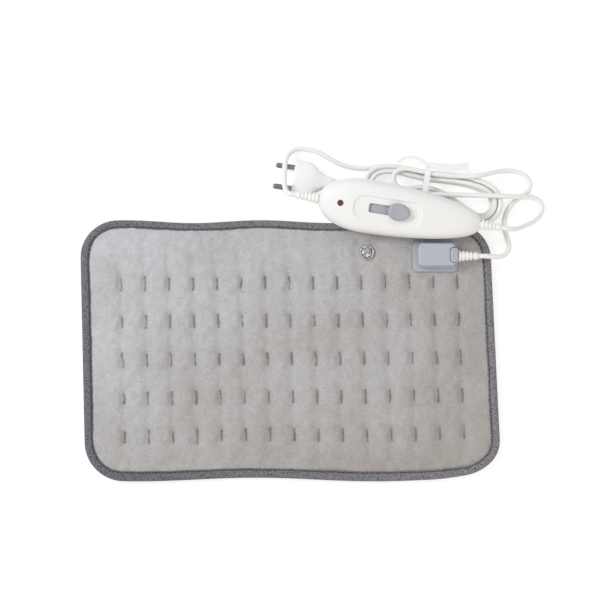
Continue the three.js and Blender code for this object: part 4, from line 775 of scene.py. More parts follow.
mains_cord = cord_piece("mains_lead", mains_route, ["mains_cord", "mains_cord_hank", "plug_cord"])
pad_lead = cord_piece("pad_lead_cord", pad_lead_route, ["pad_lead"])


# Pad
def lay(u, v, z):
    """Where a point of the flat pad goes as the soft pad lies: waved along its edges and drawn in."""
    height, period, crest = FAR_WAVE if v > 0 else NEAR_WAVE
    outwards = height * math.cos(2 * math.pi * (u - crest) / period) - EDGE_DRAW
    if v < 0:
        outwards -= CORNER_SWEEP * smoothstep(u, *SWEEP_SPAN)
    share = (2 * v / PAD_WIDTH) ** 2
    return Vector((u + PAD_LEAN * v, v + share * (outwards if v > 0 else -outwards), z))


def round_corner(u, v, half_length, half_width, radius):
    """Bends the square corner of a rectangle into a round one."""
    du = abs(u) - half_length + radius
    dv = abs(v) - half_width + radius
    if du <= 0 or dv <= 0:
        return u, v
    pull = max(du, dv) / math.hypot(du, dv)
    return (math.copysign(half_length - radius + du * pull, u),
            math.copysign(half_width - radius + dv * pull, v))


def tack_places():
    for column in range(TACK_COLUMNS):
        for row in range(TACK_ROWS):
            u = TACK_FIELD[0] + (column - (TACK_COLUMNS - 1) / 2) * TACK_COLUMN_PITCH
            v = TACK_FIELD[1] + (row - (TACK_ROWS - 1) / 2) * TACK_ROW_PITCH
            yield u, v + TACK_TILT * u


def nearest_tack(u, v):
    """Distances from a place to the nearest tack, across it and along it."""
    column = (u - TACK_FIELD[0]) / TACK_COLUMN_PITCH + (TACK_COLUMNS - 1) / 2
    row = (v - TACK_TILT * u - TACK_FIELD[1]) / TACK_ROW_PITCH + (TACK_ROWS - 1) / 2
    column -= min(max(round(column), 0), TACK_COLUMNS - 1)
    row -= min(max(round(row), 0), TACK_ROWS - 1)
    return abs(column) * TACK_COLUMN_PITCH, abs(row) * TACK_ROW_PITCH


def pinched(across, along, spread, short):
    """How firmly a tack holds a place: 1 on it and 0 beyond it."""
    end = TACK_LENGTH / 2
    return math.exp(-(across / spread) ** 2) * (1 - smoothstep(along, end - short, end + 2))


def rim_inset(u, v):
    """Distance inside the edge of the pad's layers."""
    return min(QUILT_HALF[0] - abs(u), QUILT_HALF[1] - abs(v))


def box_distance(u, v):
    """Distance outside the connector's flange on the laid pad."""
    place = lay(u, v, 0)
    du = abs(place.x - BOX[0]) - BOX_SIZE[0] / 2 + BOX_CORNER
    dv = abs(place.y - BOX[1]) - BOX_SIZE[1] / 2 + BOX_CORNER
    return math.hypot(max(du, 0), max(dv, 0)) - BOX_CORNER + min(max(du, dv), 0)


def snap_distance(u, v):
    """Distance outside the snap on the laid pad."""
    place = lay(u, v, 0)
    return math.hypot(place.x - SNAP[0], place.y - SNAP[1]) - SNAP_RADIUS


def sewn_height(u, v):
    """Height of the quilt before it swells: rim, crown, tacks and the seats of the snap and the box."""
    crown = smoothstep(rim_inset(u, v), RIM_INSET, CROWN_INSET)
    z = between(RIM_TOP, CROWN_START, crown)
    across, along = nearest_tack(u, v)
    between_rows = CHANNEL_SHARE * smoothstep(along, TACK_LENGTH / 3, TACK_LENGTH)
    pillow = math.exp(-(across / PILLOW_SPREAD) ** 2) * (1 - between_rows) * crown
    z -= PILLOW_DEPTH * pillow + PINCH_DEPTH * pinched(across, along, PINCH_SPREAD, 1)
    z = between(BOX_SEAT - SEAT_DROP, z, smoothstep(box_distance(u, v), 0.6, SEAT_SLOPE))
    return between(SNAP_SEAT - SEAT_DROP, z, smoothstep(snap_distance(u, v), 0.5, SEAT_SLOPE))


def held_down(u, v):
    """Whether the quilt is sewn or clamped at a place."""
    across, along = nearest_tack(u, v)
    tacked = across < 0.5 and along < TACK_LENGTH / 2
    clamped = min(box_distance(u, v), snap_distance(u, v)) < 0.8
    return rim_inset(u, v) < RIM_INSET - 1.5 or tacked or clamped


def back_height(u, v):
    """Height of the back cover: dimpled at the tacks and stepped up to go under the tape."""
    covered = BINDING_WIDTH - LAYER_INSET
    edge = 1.3 * (1 - smoothstep(rim_inset(u, v), covered + 0.4, covered + 3))
    return max(BACK_PINCH_DEPTH * pinched(*nearest_tack(u, v), BACK_PINCH_SPREAD, 1.5), edge)


def grid_lines(centre, pitch, count, cells, half):
    """Lines of the quilt's grid: so many cells from tack to tack, and about as wide beyond the last."""
    cell = pitch / cells
    first = centre - pitch * (count - 1) / 2
    last = centre + pitch * (count - 1) / 2
    sewn = [first + k * cell for k in range((count - 1) * cells + 1)]
    before = max(round((first + half) / cell), 1)
    after = max(round((half - last) / cell), 1)
    start = [between(-half, first, k / before) for k in range(before)]
    end = [between(last, half, (k + 1) / after) for k in range(after)]
    return start + sewn + end


def quilt_grid(bm, height):
    """Sheet with its corners rounded, laid out as the pad lies. Returns each vertex's flat place."""
    columns = grid_lines(TACK_FIELD[0], TACK_COLUMN_PITCH, TACK_COLUMNS, CELLS_ACROSS_COLUMN, QUILT_HALF[0])
    rows = grid_lines(TACK_FIELD[1], TACK_ROW_PITCH, TACK_ROWS, CELLS_ACROSS_ROW, QUILT_HALF[1])
    bmesh.ops.create_grid(bm, x_segments=len(columns) - 1, y_segments=len(rows) - 1, size=1)
    flat = []
    for vert in bm.verts:
        u = columns[round((vert.co.x + 1) / 2 * (len(columns) - 1))]
        v = rows[round((vert.co.y + 1) / 2 * (len(rows) - 1))]
        vert.co = lay(*round_corner(u, v, *QUILT_HALF, PAD_CORNER - LAYER_INSET), height(u, v))
        flat.append((u, v))
    return flat


def close_under(bm, z):
    """Turns a sheet's rim down to a height and closes it there."""
    rim = [edge for edge in bm.edges if edge.is_boundary]
    for vert in made_verts(bmesh.ops.extrude_edge_only(bm, edges=rim)):
        vert.co.z = z
    fill(bm, [edge for edge in bm.edges if edge.is_boundary])


SWELL_FRAMES = 20
SWELL_LIMIT = 3.0
UNDER_CONTROLLER = 84
SWELL_CLOTH = {
    "quality": 6,
    "mass": 0.15,
    "tension_stiffness": 12,
    "compression_stiffness": 12,
    "shear_stiffness": 6,
    "bending_stiffness": 0.3,
    "air_damping": 4,
    "use_pressure": True,
    "uniform_pressure_force": 4.0,
    "shrink_min": -0.012,
    "vertex_group_mass": "held",
}


def swell(obj, held):
    """Cloth under pressure, sewn down where it is held; the result is kept in the mesh."""
    group = obj.vertex_groups.new(name="held")
    group.add(held, 1.0, "REPLACE")
    rest = [vert.co.copy() for vert in obj.data.vertices]
    modifier = obj.modifiers.new("swell", "CLOTH")
    for setting, value in SWELL_CLOTH.items():
        setattr(modifier.settings, setting, value)
    modifier.settings.effector_weights.gravity = 0
    modifier.point_cache.frame_start = 1
    modifier.point_cache.frame_end = SWELL_FRAMES
    for frame_number in range(1, SWELL_FRAMES + 1):
        scene.frame_set(frame_number)
    swollen = obj.evaluated_get(bpy.context.evaluated_depsgraph_get()).to_mesh()
    moved = [vert.co - before for vert, before in zip(swollen.vertices, rest)]
    obj.modifiers.remove(modifier)
    obj.vertex_groups.remove(group)
    scene.frame_set(1)
    for vert, before, shift in zip(obj.data.vertices, rest, moved):
        length = min(shift.length, SWELL_LIMIT * MM)
        if shift.length > 0:
            vert.co = before + shift.normalized() * length
        if vert.co.y > UNDER_CONTROLLER * MM:
            vert.co.z = min(vert.co.z, CROWN_TOP * MM)


def quilt():
    """Top of the pad: a swollen sheet, tacked down, closed underneath."""
    bm = bmesh.new()
    flat = quilt_grid(bm, sewn_height)
    held = [k for k, place in enumerate(flat) if held_down(*place)]
    obj = piece("quilted_fleece", bm, FLEECE, "fleece", ["pad_top_quilt"], sharp=180)
    swell(obj, held)
    bm = bmesh.new()
    bm.from_mesh(obj.data)
    close_under(bm, QUILT_BASE * MM)
    bmesh.ops.recalc_face_normals(bm, faces=bm.faces)
    bm.to_mesh(obj.data)
    bm.free()
    obj.data.shade_smooth()
    soften(obj)
    return obj


def back_cover():
    """Underside of the pad, flat where it rests."""
    bm = bmesh.new()
    quilt_grid(bm, back_height)
    close_under(bm, COVER_TOP)
    obj = piece("back_cover", bm, BACK_FLEECE, "fleece", ["pad_bottom_cover"], sharp=60)


def pad_outline(inset, z, corner_steps=10, step=5):
    """Points round the laid pad at a distance inside its edge."""
    half_length, half_width = PAD_LENGTH / 2 - inset, PAD_WIDTH / 2 - inset
    radius = PAD_CORNER - inset
    straights = (PAD_WIDTH - 2 * PAD_CORNER, PAD_LENGTH - 2 * PAD_CORNER)
    points = []
    for quarter, (right, up) in enumerate(CORNERS):
        centre = Vector((right * (half_length - radius), up * (half_width - radius)))
        for k in range(corner_steps + 1):
            angle = math.pi / 2 * (quarter - 1 + k / corner_steps)
            points.append(centre + radius * Vector((math.cos(angle), math.sin(angle))))
        end = points[-1]
        straight = straights[quarter % 2]
        direction = Vector((math.cos(math.pi / 2 * (quarter + 1)), math.sin(math.pi / 2 * (quarter + 1))))
        count = round(straight / step)
        points += [end + direction * straight * k / count for k in range(1, count)]
    return [lay(point.x, point.y, z) for point in points]


def carrier():
    """Felt sheet between the covers, which carries the heating wire."""
    rings = [pad_outline(LAYER_INSET, z) for z in CARRIER_LEVELS]
    obj = lofted("carrier_sheet", rings, FELT, "felt", ["heater_carrier"])


def pucker(point):
    """Rise and fall of the tape along its seam."""
    return PUCKER * vary(point.x, point.y, 0, 0.09)


def mark_along_across(bm, loops):
    """UV map in metres: along the tape, and across it."""
    paint = bm.loops.layers.uv.new("along_across")
    along = [0]
    for before, after in zip(loops[0], loops[0][1:] + loops[0][:1]):
        along.append(along[-1] + (after.co - before.co).length * MM)
    across = [0]
    for before, after in zip(loops, loops[1:] + loops[:1]):
        across.append(across[-1] + (after[0].co - before[0].co).length * MM)
    place = {vert: (k, i) for i, loop in enumerate(loops) for k, vert in enumerate(loop)}
    for face in bm.faces:
        corners = [place[corner.vert] for corner in face.loops]
        last_column = max(k for k, _ in corners) - min(k for k, _ in corners) > 1
        last_row = max(i for _, i in corners) - min(i for _, i in corners) > 1
        for corner, (k, i) in zip(face.loops, corners):
            column = len(loops[0]) if last_column and k == 0 else k
            row = len(loops) if last_row and i == 0 else i
            corner[paint].uv = (along[column], across[row])


def binding():
    """Tape folded over the pad's edge, a little puckered by its seam. Its section has (inset, z) points."""
    under = BINDING_TOP - BINDING_ROLL
    outer = through([
        (BINDING_WIDTH, under), (BINDING_WIDTH - BINDING_ROLL / 3, BINDING_TOP - BINDING_ROLL / 3),
        (BINDING_WIDTH - 1.7, BINDING_TOP - 0.25), (4.6, BINDING_TOP), (2.3, BINDING_TOP - 0.5),
        (0.6, BINDING_TOP - 2), (0, BINDING_TOP / 2), (0.6, 1.2), (2.4, 0.1), (4.6, 0), (BINDING_WIDTH, 0),
    ], 2)
    inner = [(BINDING_WIDTH, 0.85), (4.5, 0.85), (1.2, 0.95), (1.0, BINDING_TOP / 2), (1.2, under),
             (4.5, under)]
    rings = []
    for inset, z in [*outer, *inner]:
        ring = []
        for point, deeper in zip(pad_outline(inset, z), pad_outline(inset + 1, z)):
            wander = TAPE_WANDER * (0.5 + vary(point.x, point.y, 40, 0.05)) * (inset / BINDING_WIDTH) ** 2
            lift = pucker(point) if z > BINDING_TOP / 2 else 0
            ring.append(point.lerp(deeper, wander) + Vector((0, 0, lift)))
        rings.append(ring)
    bm = bmesh.new()
    mark_along_across(bm, loft(bm, rings, closed=True))
    soften(piece("edge_tape", bm, TAPE, "tape", ["edge_binding"], sharp=180))


def capsule(bm, start, end, radius, sides=5):
    """Short thread with rounded ends."""
    rings = tube_rings([start, start.lerp(end, 0.15), start.lerp(end, 0.85), end], radius, sides)
    for ring, point in ((rings[0], start), (rings[-1], end)):
        for k, corner in enumerate(ring):
            ring[k] = point.lerp(corner, 0.45) + Vector((0, 0, -0.6 * radius))
    loft(bm, rings)


def tape_stitches():
    """Row of stitches near the inner edge of the tape."""
    ring = pad_outline(STITCH_INSET, BINDING_TOP - 0.05, 24, 1.5)
    ring.append(ring[0])
    reached = list(accumulate(((after - before).length for before, after in zip(ring, ring[1:])), initial=0))

    def at(distance):
        k = bisect_right(reached, distance) - 1
        point = ring[k].lerp(ring[k + 1], (distance - reached[k]) / (reached[k + 1] - reached[k]))
        point.z += pucker(point)
        return point

    bm = bmesh.new()
    for stitch in range(int((reached[-1] - STITCH_LENGTH) / STITCH_PITCH) + 1):
        start = stitch * STITCH_PITCH
        capsule(bm, at(start), at(start + STITCH_LENGTH), STITCH_RADIUS)
    piece("tape_stitches", bm, TAPE_THREAD, "tape", sharp=60)


def tack_threads(quilted):
    """Zigzag bar of thread in each tack, lying on the swollen fleece."""
    surface = BVHTree.FromObject(quilted, bpy.context.evaluated_depsgraph_get())
    bm = bmesh.new()
    for u, v in tack_places():
        wander = vary(u, v, 3, 0.37)
        spread = THREAD_SPREAD + 0.5 * vary(u, v, 17, 0.43)
        reach = TACK_LENGTH / 2 - 0.6 + 1.6 * vary(u, v, 23, 0.41)
        points = []
        for k in range(THREAD_TURNS + 1):
            side = spread if k % 2 else -spread
            along = between(-reach, reach, k / THREAD_TURNS)
            lean = 1.1 * wander * math.sin(5 * along / TACK_LENGTH + 4 * wander)
            place = lay(u + side + lean, v + along, 0)
            hit = surface.ray_cast((place.x * MM, place.y * MM, 1), (0, 0, -1))[0]
            sunk = 0.7 * vary(place.x, place.y, 9, 0.5)
            points.append(Vector((place.x, place.y, hit.z / MM + sunk)))
        loft(bm, tube_rings(points, THREAD_RADIUS, 5))
    piece("tack_threads", bm, TACK_THREAD, "fleece", sharp=60)


quilted = quilt()
back_cover()
carrier()
binding()
tape_stitches()
tack_threads(quilted)

# Snap: pressed ring with a rolled rim round a waisted stud, with a pocket underneath for the post
SNAP_PROFILE = [
    (2.2, 0.0), (2.2, 1.9), (0.0, 1.9), (0.0, 5.9), (0.35, 6.5), (0.9, SNAP_RADIUS), (1.45, 6.3), (1.6, 5.7),
    (1.35, 5.0), (0.9, 4.5), (0.8, 4.0), (1.0, 3.4), (1.5, 2.95), (2.1, 3.1), (2.6, 3.3), (3.0, 3.05),
    (3.2, 2.4), (3.2, 0.0),
]
spun("snap_ring", SNAP_PROFILE, 40, SNAP_STEEL, "steel", ["snap_stud"], sharp=50,
     place=Matrix.Translation((*SNAP, SNAP_SEAT + FIT)) @ upright)


# Connector box
def level_rings(steps, middle, size, corner):
    """Rounded rectangles one above another from (inset, z) steps."""
    rings = []
    for inset, z in steps:
        outline = rounded(size[0] - 2 * inset, size[1] - 2 * inset, max(corner - 0.6 * inset, 0.8))
        rings.append([Vector((middle + x, y, z)) for x, y in outline])
    return rings


def connector_base():
    """Flange with soft edges, which reaches further on one side."""
    steps = [(0.5, 0), (0.1, 0.15), (0, 0.5), (0, 1.4), (0.15, 1.9), (0.6, 2.25), (1.2, BASE_THICKNESS)]
    size = (BOX_SIZE[0] + FLANGE_REACH, BOX_SIZE[1] - FLANGE_TRIM)
    rings = level_rings(steps, -FLANGE_REACH / 2, size, BOX_CORNER)
    place = box_frame @ Matrix.Translation((0, FLANGE_TRIM / 2, 0))
    lofted("connector_flange", rings, FLANGE_GREY, "box_plastic", ["connector_base"], sharp=60, place=place)


def connector_cover():
    """Raised lid with a rounded top edge, notched for the collar."""
    steps = [(0, LID_BASE), (0.1, LID_BASE + 0.3), (0.6, LID_TOP - 1.8), (0.8, LID_TOP - 0.9),
             (1.1, LID_TOP - 0.4), (1.5, LID_TOP - 0.1), (2.1, LID_TOP), (3.4, LID_TOP - 0.02)]
    rings = level_rings(steps, LID_START + LID_LENGTH / 2, (LID_LENGTH, LID_WIDTH), BOX_CORNER)
    place = box_frame @ Matrix.Translation((0, LID_SHIFT, 0))
    obj = lofted("connector_lid", rings, BOX_GREY, "box_plastic", ["connector_cover"], sharp=60, place=place)
    notch = bmesh.new()
    size = [side + 2 * NOTCH_ROOM for side in COLLAR_SIZE]
    loft(notch, level_rings([(0, LID_BASE - 5), (0, LID_TOP + 5)], COLLAR_END - COLLAR_SIZE[0] / 2, size,
                            COLLAR_CORNER + NOTCH_ROOM))
    carve(obj, [("DIFFERENCE", tool_object(notch, box_frame))], BOX_GREY, smooth=False)


def connector_collar():
    """Block that grips the boot: round at its corners, a little proud of the lid, with fine ribs on top."""
    middle = COLLAR_END - COLLAR_SIZE[0] / 2
    steps = [(0, LID_BASE), (0.1, COLLAR_TOP - 1.5), (0.25, COLLAR_TOP - 0.8), (0.55, COLLAR_TOP - 0.3),
             (1.1, COLLAR_TOP)]
    bm = bmesh.new()
    loft(bm, level_rings(steps, middle, COLLAR_SIZE, COLLAR_CORNER))
    for rib in range(3):
        block(bm, (0.8, COLLAR_SIZE[1] - 3.4, 0.8), (middle - 1.4 + 1.7 * rib, 0, COLLAR_TOP - 0.1))
    obj = piece("connector_grip", bm, BOX_GREY, "box_plastic", ["connector_collar"], sharp=50,
                place=box_frame)
    round_edges(obj, 0.2, angle=60)


def ribbed_boot(name, node, ribs, place):
    """Strain relief: a root in the housing, a collar, then ribs that step down to the cord."""
    collar_radius, collar_length = BOOT_COLLAR
    start = FIT + collar_length
    profile = [(-3.0, 0), (-3.0, 3.0), (FIT, 3.0), (FIT, collar_radius), (start, collar_radius)]
    for rib in range(ribs):
        near = start + rib * RIB_PITCH
        radius = between(collar_radius, BOOT_END, (rib + 1) / (ribs + 1))
        profile += [(near, radius - RIB_DEPTH), (near + RIB_GAP, radius - RIB_DEPTH),
                    (near + RIB_GAP, radius), (near + RIB_PITCH, radius)]
    end = boot_reach(ribs)
    profile += [(end - RIB_GAP, BOOT_END), (end, BOOT_END - 0.3), (end, 0)]
    round_edges(spun(name, profile, 32, RUBBER, "boot_rubber", [node], sharp=30, place=place), BOOT_ROUNDS)


connector_base()
connector_cover()
connector_collar()
ribbed_boot("connector_relief", "connector_boot", LEAD_RIBS,
            box_frame @ Matrix.Translation((COLLAR_END, 0, BOX_AXIS)))
ribbed_boot("mains_relief", "mains_boot", MAINS_RIBS, case_frame @ rotation(180, "Z"))
ribbed_boot("pad_lead_relief", "pad_lead_boot", LEAD_RIBS,
            case_frame @ Matrix.Translation((CASE_LENGTH, 0, 0)))

# Controller: profiles of (share of the outline, share of the height)
UPPER_PROFILE = [(1, 0), (0.99, 0.2), (0.97, 0.42), (0.9, 0.69), (0.77, 0.87), (0.58, 0.97), (0.42, 1)]
LOWER_PROFILE = [(1, 0), (0.99, 0.18), (0.965, 0.4), (0.88, 0.7), (0.72, 0.93), (0.5, 1)]
INNER_PROFILE = [(0.6, 1), (0.82, 0.8), (0.95, 0.45), (1, 0)]
INNER_SHARE = 1 - 2 * CASE_WALL / CASE_WIDTH
SEAM_HALF = FIT / 2
upper_line = through(UPPER_PROFILE, 4)
lower_line = through(LOWER_PROFILE, 3)


def outline_point(angle):
    """Teardrop outline: a full round at the blunt end and a long taper to the slim end."""
    along = math.cos(angle)
    if along < 0:
        share = (1 - abs(along) ** 2.2) ** (1 / 2.2)
        station = WIDEST_STATION * (1 + along)
    else:
        share = (1 - along ** 1.75) ** 0.38
        station = between(WIDEST_STATION, CASE_LENGTH, along)
    return station, math.copysign(share * CASE_WIDTH / 2, math.sin(angle))


OUTLINE = [outline_point(2 * math.pi * (k + 0.5) / CASE_POINTS) for k in range(CASE_POINTS)]


def height_share(station):
    """Share of its full height that the case has at a station, less towards both ends."""
    blunt = max(0, CROWN_STATION - station) / CROWN_STATION
    slim = max(0, station - CROWN_STATION) / (CASE_LENGTH - CROWN_STATION)
    return 1 - 0.12 * blunt ** 2 - 0.3 * slim ** 2


def case_ring(share, height, lift):
    """Ring at a share of the outline, measured from the crown."""
    ring = []
    for station, side in OUTLINE:
        along = between(CROWN_STATION, station, share)
        ring.append(Vector((along, share * side, height * height_share(along) + lift)))
    return ring


def rise_at(share):
    """Share of the upper shell's height at a share of its outline."""
    for (outer, low), (inner, high) in zip(upper_line, upper_line[1:]):
        if share >= inner:
            return between(low, high, (outer - share) / (outer - inner))
    return 1


def oval_ring(opening, grow, level=None, drop=0, near_grow=None):
    """Ring where the rays from the crown to the outline cross a rounded rectangle.

    It lies at a level or, without one, at a drop from the skin. The near side may grow further than the rest.
    """
    span, width, corner = opening
    middle, half, half_width = (span[0] + span[1]) / 2, (span[1] - span[0]) / 2 + grow, width / 2 + grow
    radius = min(corner + grow, half_width - 0.05)
    near_scale = 1 if near_grow is None else half_width / (width / 2 + near_grow)

    def outside(x, y):
        away = y if y > 0 else -y * near_scale
        dx, dy = abs(x - middle) - half + radius, away - half_width + radius
        return math.hypot(max(dx, 0), max(dy, 0)) + min(max(dx, dy), 0) - radius

    ring = []
    for station, side in OUTLINE:
        low, high = 0, 1
        for _ in range(30):
            share = (low + high) / 2
            if outside(between(CROWN_STATION, station, share), share * side) > 0:
                high = share
            else:
                low = share
        along = between(CROWN_STATION, station, low)
        skin = UPPER_HEIGHT * rise_at(low) * height_share(along) + SEAM_HALF
        ring.append(Vector((along, low * side, skin + drop if level is None else level)))
    return ring


def upper_shell():
    """Upper half of the case: skin, finger recess, slot and inner face in one closed surface."""
    recess = (RECESS, RECESS_WIDTH, RECESS_WIDTH / 2 - FIT)
    slot = (SLOT, SLOT_WIDTH, SLOT_CORNER)
    ceiling = UPPER_HEIGHT - TOP_WALL
    rings = [case_ring(0.994, 0, SEAM_HALF), case_ring(0.999, 0.4, SEAM_HALF)]
    for share, rise in upper_line[2:]:
        if share > 0.66:
            rings.append(case_ring(share, UPPER_HEIGHT * rise, SEAM_HALF))
    for grow, near_grow, drop in ((0.9, 3.6, 0), (0.5, 2.6, -0.05), (0.25, 1.6, -0.3), (0, 0.5, -0.8)):
        rings.append(oval_ring(recess, grow, drop=drop, near_grow=near_grow))
    for grow, lift in ((-0.5, 0.2), (-0.9, 0.03), (-1.6, 0)):
        rings.append(oval_ring(recess, grow, RECESS_FLOOR + lift))
    for grow, lift in ((1.2, 0), (0.35, 0), (0.06, -0.12), (0, -0.45)):
        rings.append(oval_ring(slot, grow, RECESS_FLOOR + lift))
    rings += [oval_ring(slot, 0, ceiling + 0.1), oval_ring(slot, 0.3, ceiling)]
    rings += [case_ring(INNER_SHARE * share, ceiling * rise, SEAM_HALF) for share, rise in INNER_PROFILE]
    obj = lofted("upper_case", rings, WHITE, "white_plastic", ["controller_upper_shell"], closed=True,
                 sharp=180, place=case_frame)
    carve(obj, [("DIFFERENCE", rod_tool(LAMP_HOLE, 0, 2 * UPPER_HEIGHT, LAMP_STATION, 0))])


def recess_ridge():
    """Fine curved ridge in the recess, beyond the knob's end of travel."""
    length, width = RIDGE_REACH
    line = []
    for k in range(17):
        angle = math.radians(between(-RIDGE_TURN, RIDGE_TURN, k / 16))
        line.append(Vector((SLOT[1] + length * math.cos(angle), width * math.sin(angle), RECESS_FLOOR + 0.1)))
    lofted("recess_ridge", tube_rings(line, RIDGE_RADIUS, 8), WHITE, "white_plastic", sharp=60,
           place=case_frame)


def lower_shell():
    """Lower half of the case, with a screw well under each post."""
    floor = CASE_WALL - LOWER_DEPTH
    rings = [case_ring(0.2, -LOWER_DEPTH, -SEAM_HALF)]
    rings += [case_ring(share, -LOWER_DEPTH * rise, -SEAM_HALF) for share, rise in lower_line[:1:-1]]
    rings += [case_ring(0.999, -0.4, -SEAM_HALF), case_ring(0.994, 0, -SEAM_HALF)]
    rings += [case_ring(INNER_SHARE * share, floor * rise, -SEAM_HALF) for share, rise in INNER_PROFILE[::-1]]
    rings.append(case_ring(0.2, floor, -SEAM_HALF))
    obj = lofted("lower_case", rings, WHITE, "white_plastic", ["controller_lower_shell"],
                 sharp=180, place=case_frame)
    steps = []
    for place in SCREW_PLACES:
        steps.append(("UNION", rod_tool(POST_RADIUS, floor * height_share(place[0]), -1.3, *place)))
        steps.append(("DIFFERENCE", rod_tool(SCREW_WELL, -2 * LOWER_DEPTH, -7, *place)))
        steps.append(("DIFFERENCE", rod_tool(SCREW_BORE, -2 * LOWER_DEPTH, 0, *place)))
    carve(obj, steps)


def knob():
    """Oval cap with a dished crown, on the stem that passes through the slot."""
    base = RECESS_FLOOR + FIT
    length, width, height = KNOB_SIZE
    shape = [(0.3, 0), (0.93, 0), (0.985, 0.07), (1, 0.2), (0.985, 0.5), (0.95, 0.74), (0.88, 0.9),
             (0.79, 0.985), (0.7, 1), (0.58, 0.975), (0.4, 0.93), (0.2, 0.905)]
    turns = [2 * math.pi * k / 48 for k in range(48)]
    rings = [[Vector((KNOB_STATION + share * length / 2 * math.cos(turn),
                      share * width / 2 * math.sin(turn) * (1 - 0.08 * math.cos(turn)),
                      base + height * rise)) for turn in turns]
             for share, rise in shape]
    bm = bmesh.new()
    loft(bm, rings)
    stem_base = SHUTTER_TOP - 1.5
    stem_top = base + FIT
    block(bm, (*STEM_SIZE, stem_top - stem_base), (KNOB_STATION, 0, (stem_top + stem_base) / 2))
    piece("slide_knob", bm, GREY, "grey_plastic", ["slider_knob"], body="slider", sharp=45, place=case_frame)


def shutter():
    """Strip with fine lengthwise ribs that closes the slot behind the knob."""
    pitch = SLOT_WIDTH / SHUTTER_RIBS
    groove = SHUTTER_TOP - 0.35
    section = [(-SHUTTER_HALF, SHUTTER_TOP - 1.2), (SHUTTER_HALF, SHUTTER_TOP - 1.2), (SHUTTER_HALF, groove)]
    for rib in range(SHUTTER_RIBS):
        right = SLOT_WIDTH / 2 - rib * pitch
        section += [(right - 0.14 * pitch, groove), (right - 0.3 * pitch, SHUTTER_TOP),
                    (right - 0.7 * pitch, SHUTTER_TOP), (right - 0.86 * pitch, groove)]
    section.append((-SHUTTER_HALF, groove))
    rings = [[Vector((station, side, z)) for side, z in section] for station in SHUTTER_SPAN]
    lofted("slot_shutter", rings, STRIP_GREY, "grey_plastic", ["slider_shutter"], body="slider", sharp=30,
           place=case_frame)


def lens():
    """Domed lamp lens, standing a little proud of the case."""
    reach = (CROWN_STATION - LAMP_STATION) / CROWN_STATION
    crown = UPPER_HEIGHT * rise_at(reach) * height_share(LAMP_STATION) + 0.6
    profile = [(LENS_BASE, 0), (LENS_BASE, LENS_RADIUS), (crown - 0.9, LENS_RADIUS),
               (crown - 0.5, LENS_RADIUS - 0.15), (crown - 0.2, LENS_RADIUS - 0.7), (crown - 0.05, 1.0),
               (crown, 0)]
    spun("lamp_dome", profile, 32, LENS, "lens", ["indicator_lens"], sharp=50,
         place=case_frame @ Matrix.Translation((LAMP_STATION, 0, 0)) @ upright)


upper_shell()
recess_ridge()
lower_shell()
knob()
shutter()
lens()

# Plug: shares of its length, width and thickness along the body
PLUG_FACE = [(0, 0.9, 0.86), (0.004, 0.965, 0.95), (0.014, 0.99, 0.985)]
PLUG_SECTIONS = [(0.03, 1, 1), (0.32, 1, 1), (0.48, 0.89, 0.97), (0.64, 0.58, 0.88), (0.8, 0.38, 0.78),
                 (1, 0.3, 0.7)]


def plug_ring(reach, across, deep):
    """Squarish oval section of the plug."""
    length, width, thickness = PLUG_SIZE
    ring = []
    for k in range(48):
        angle = 2 * math.pi * (k + 0.5) / 48
        x, y = math.cos(angle), math.sin(angle)
        ring.append(Vector((reach * length, math.copysign(abs(x) ** 0.55, x) * across * width / 2,
                            math.copysign(abs(y) ** 0.55, y) * deep * thickness / 2)))
    return ring


def plug_body():
    """Flat body that narrows to its cord, with a rounded rim at the pin face."""
    rings = [plug_ring(*shares) for shares in [*PLUG_FACE, *through(PLUG_SECTIONS, 4)]]
    return lofted("plug_shell", rings, PLUG_WHITE, "white_plastic", ["plug_body"], sharp=50, place=plug_frame)


def plug_pin(side, number):
    """Round pin with a tapered tip."""
    tip = -PIN_REACH
    profile = [(tip, 0), (tip, 0.9), (tip + 0.3, 1.5), (tip + 1.0, 2.1), (tip + 1.9, PIN_RADIUS),
               (-0.4, PIN_RADIUS), (PIN_ROOT, PIN_RADIUS), (PIN_ROOT, 0)]
    place = plug_frame @ Matrix.Translation((0, side * PIN_SPACING / 2, 0))
    return spun(f"contact_pin_{number}", profile, 28, PIN_STEEL, "steel", [f"plug_pin_{number}"], sharp=50,
                place=place)


def plug_boot():
    """Ribs that step down from the plug to its cord."""
    start = PLUG_SIZE[0] + FIT
    profile = [(start, 0)]
    for rib in range(PLUG_RIBS):
        near = start + rib * RIB_PITCH
        radius = between(BOOT_COLLAR[0], BOOT_END, rib / PLUG_RIBS)
        profile += [(near, radius), (near + RIB_WIDTH, radius), (near + RIB_WIDTH, radius - RIB_DEPTH),
                    (near + RIB_PITCH, radius - RIB_DEPTH)]
    profile += [(plug_boot_end - RIB_GAP, BOOT_END), (plug_boot_end, BOOT_END), (plug_boot_end, 0)]
    obj = spun("plug_relief", profile, 32, RUBBER, "boot_rubber", ["plug_boot"], sharp=30, place=plug_frame)
    round_edges(obj, BOOT_ROUNDS)
    return obj


plug_pieces = [plug_body(), plug_pin(1, 1), plug_pin(-1, 2), plug_boot()]


# Tie round the hank
def strip(bm, line, widths):
    """Flat strip along a line, with rounded edges and widths that change evenly from one to the next."""
    rings = []
    for k, point in enumerate(line):
        along = direction_at(line, k)
        across = Vector((-along.y, along.x, 0)).normalized()
        share = k / (len(line) - 1) * (len(widths) - 1)
        cell = min(int(share), len(widths) - 2)
        width = between(widths[cell], widths[cell + 1], share - cell)
        outline = rounded(width, TIE_THICKNESS, 0.3, 2)
        rings.append([point + across * a + Vector((0, 0, b)) for a, b in outline])
    loft(bm, rings)


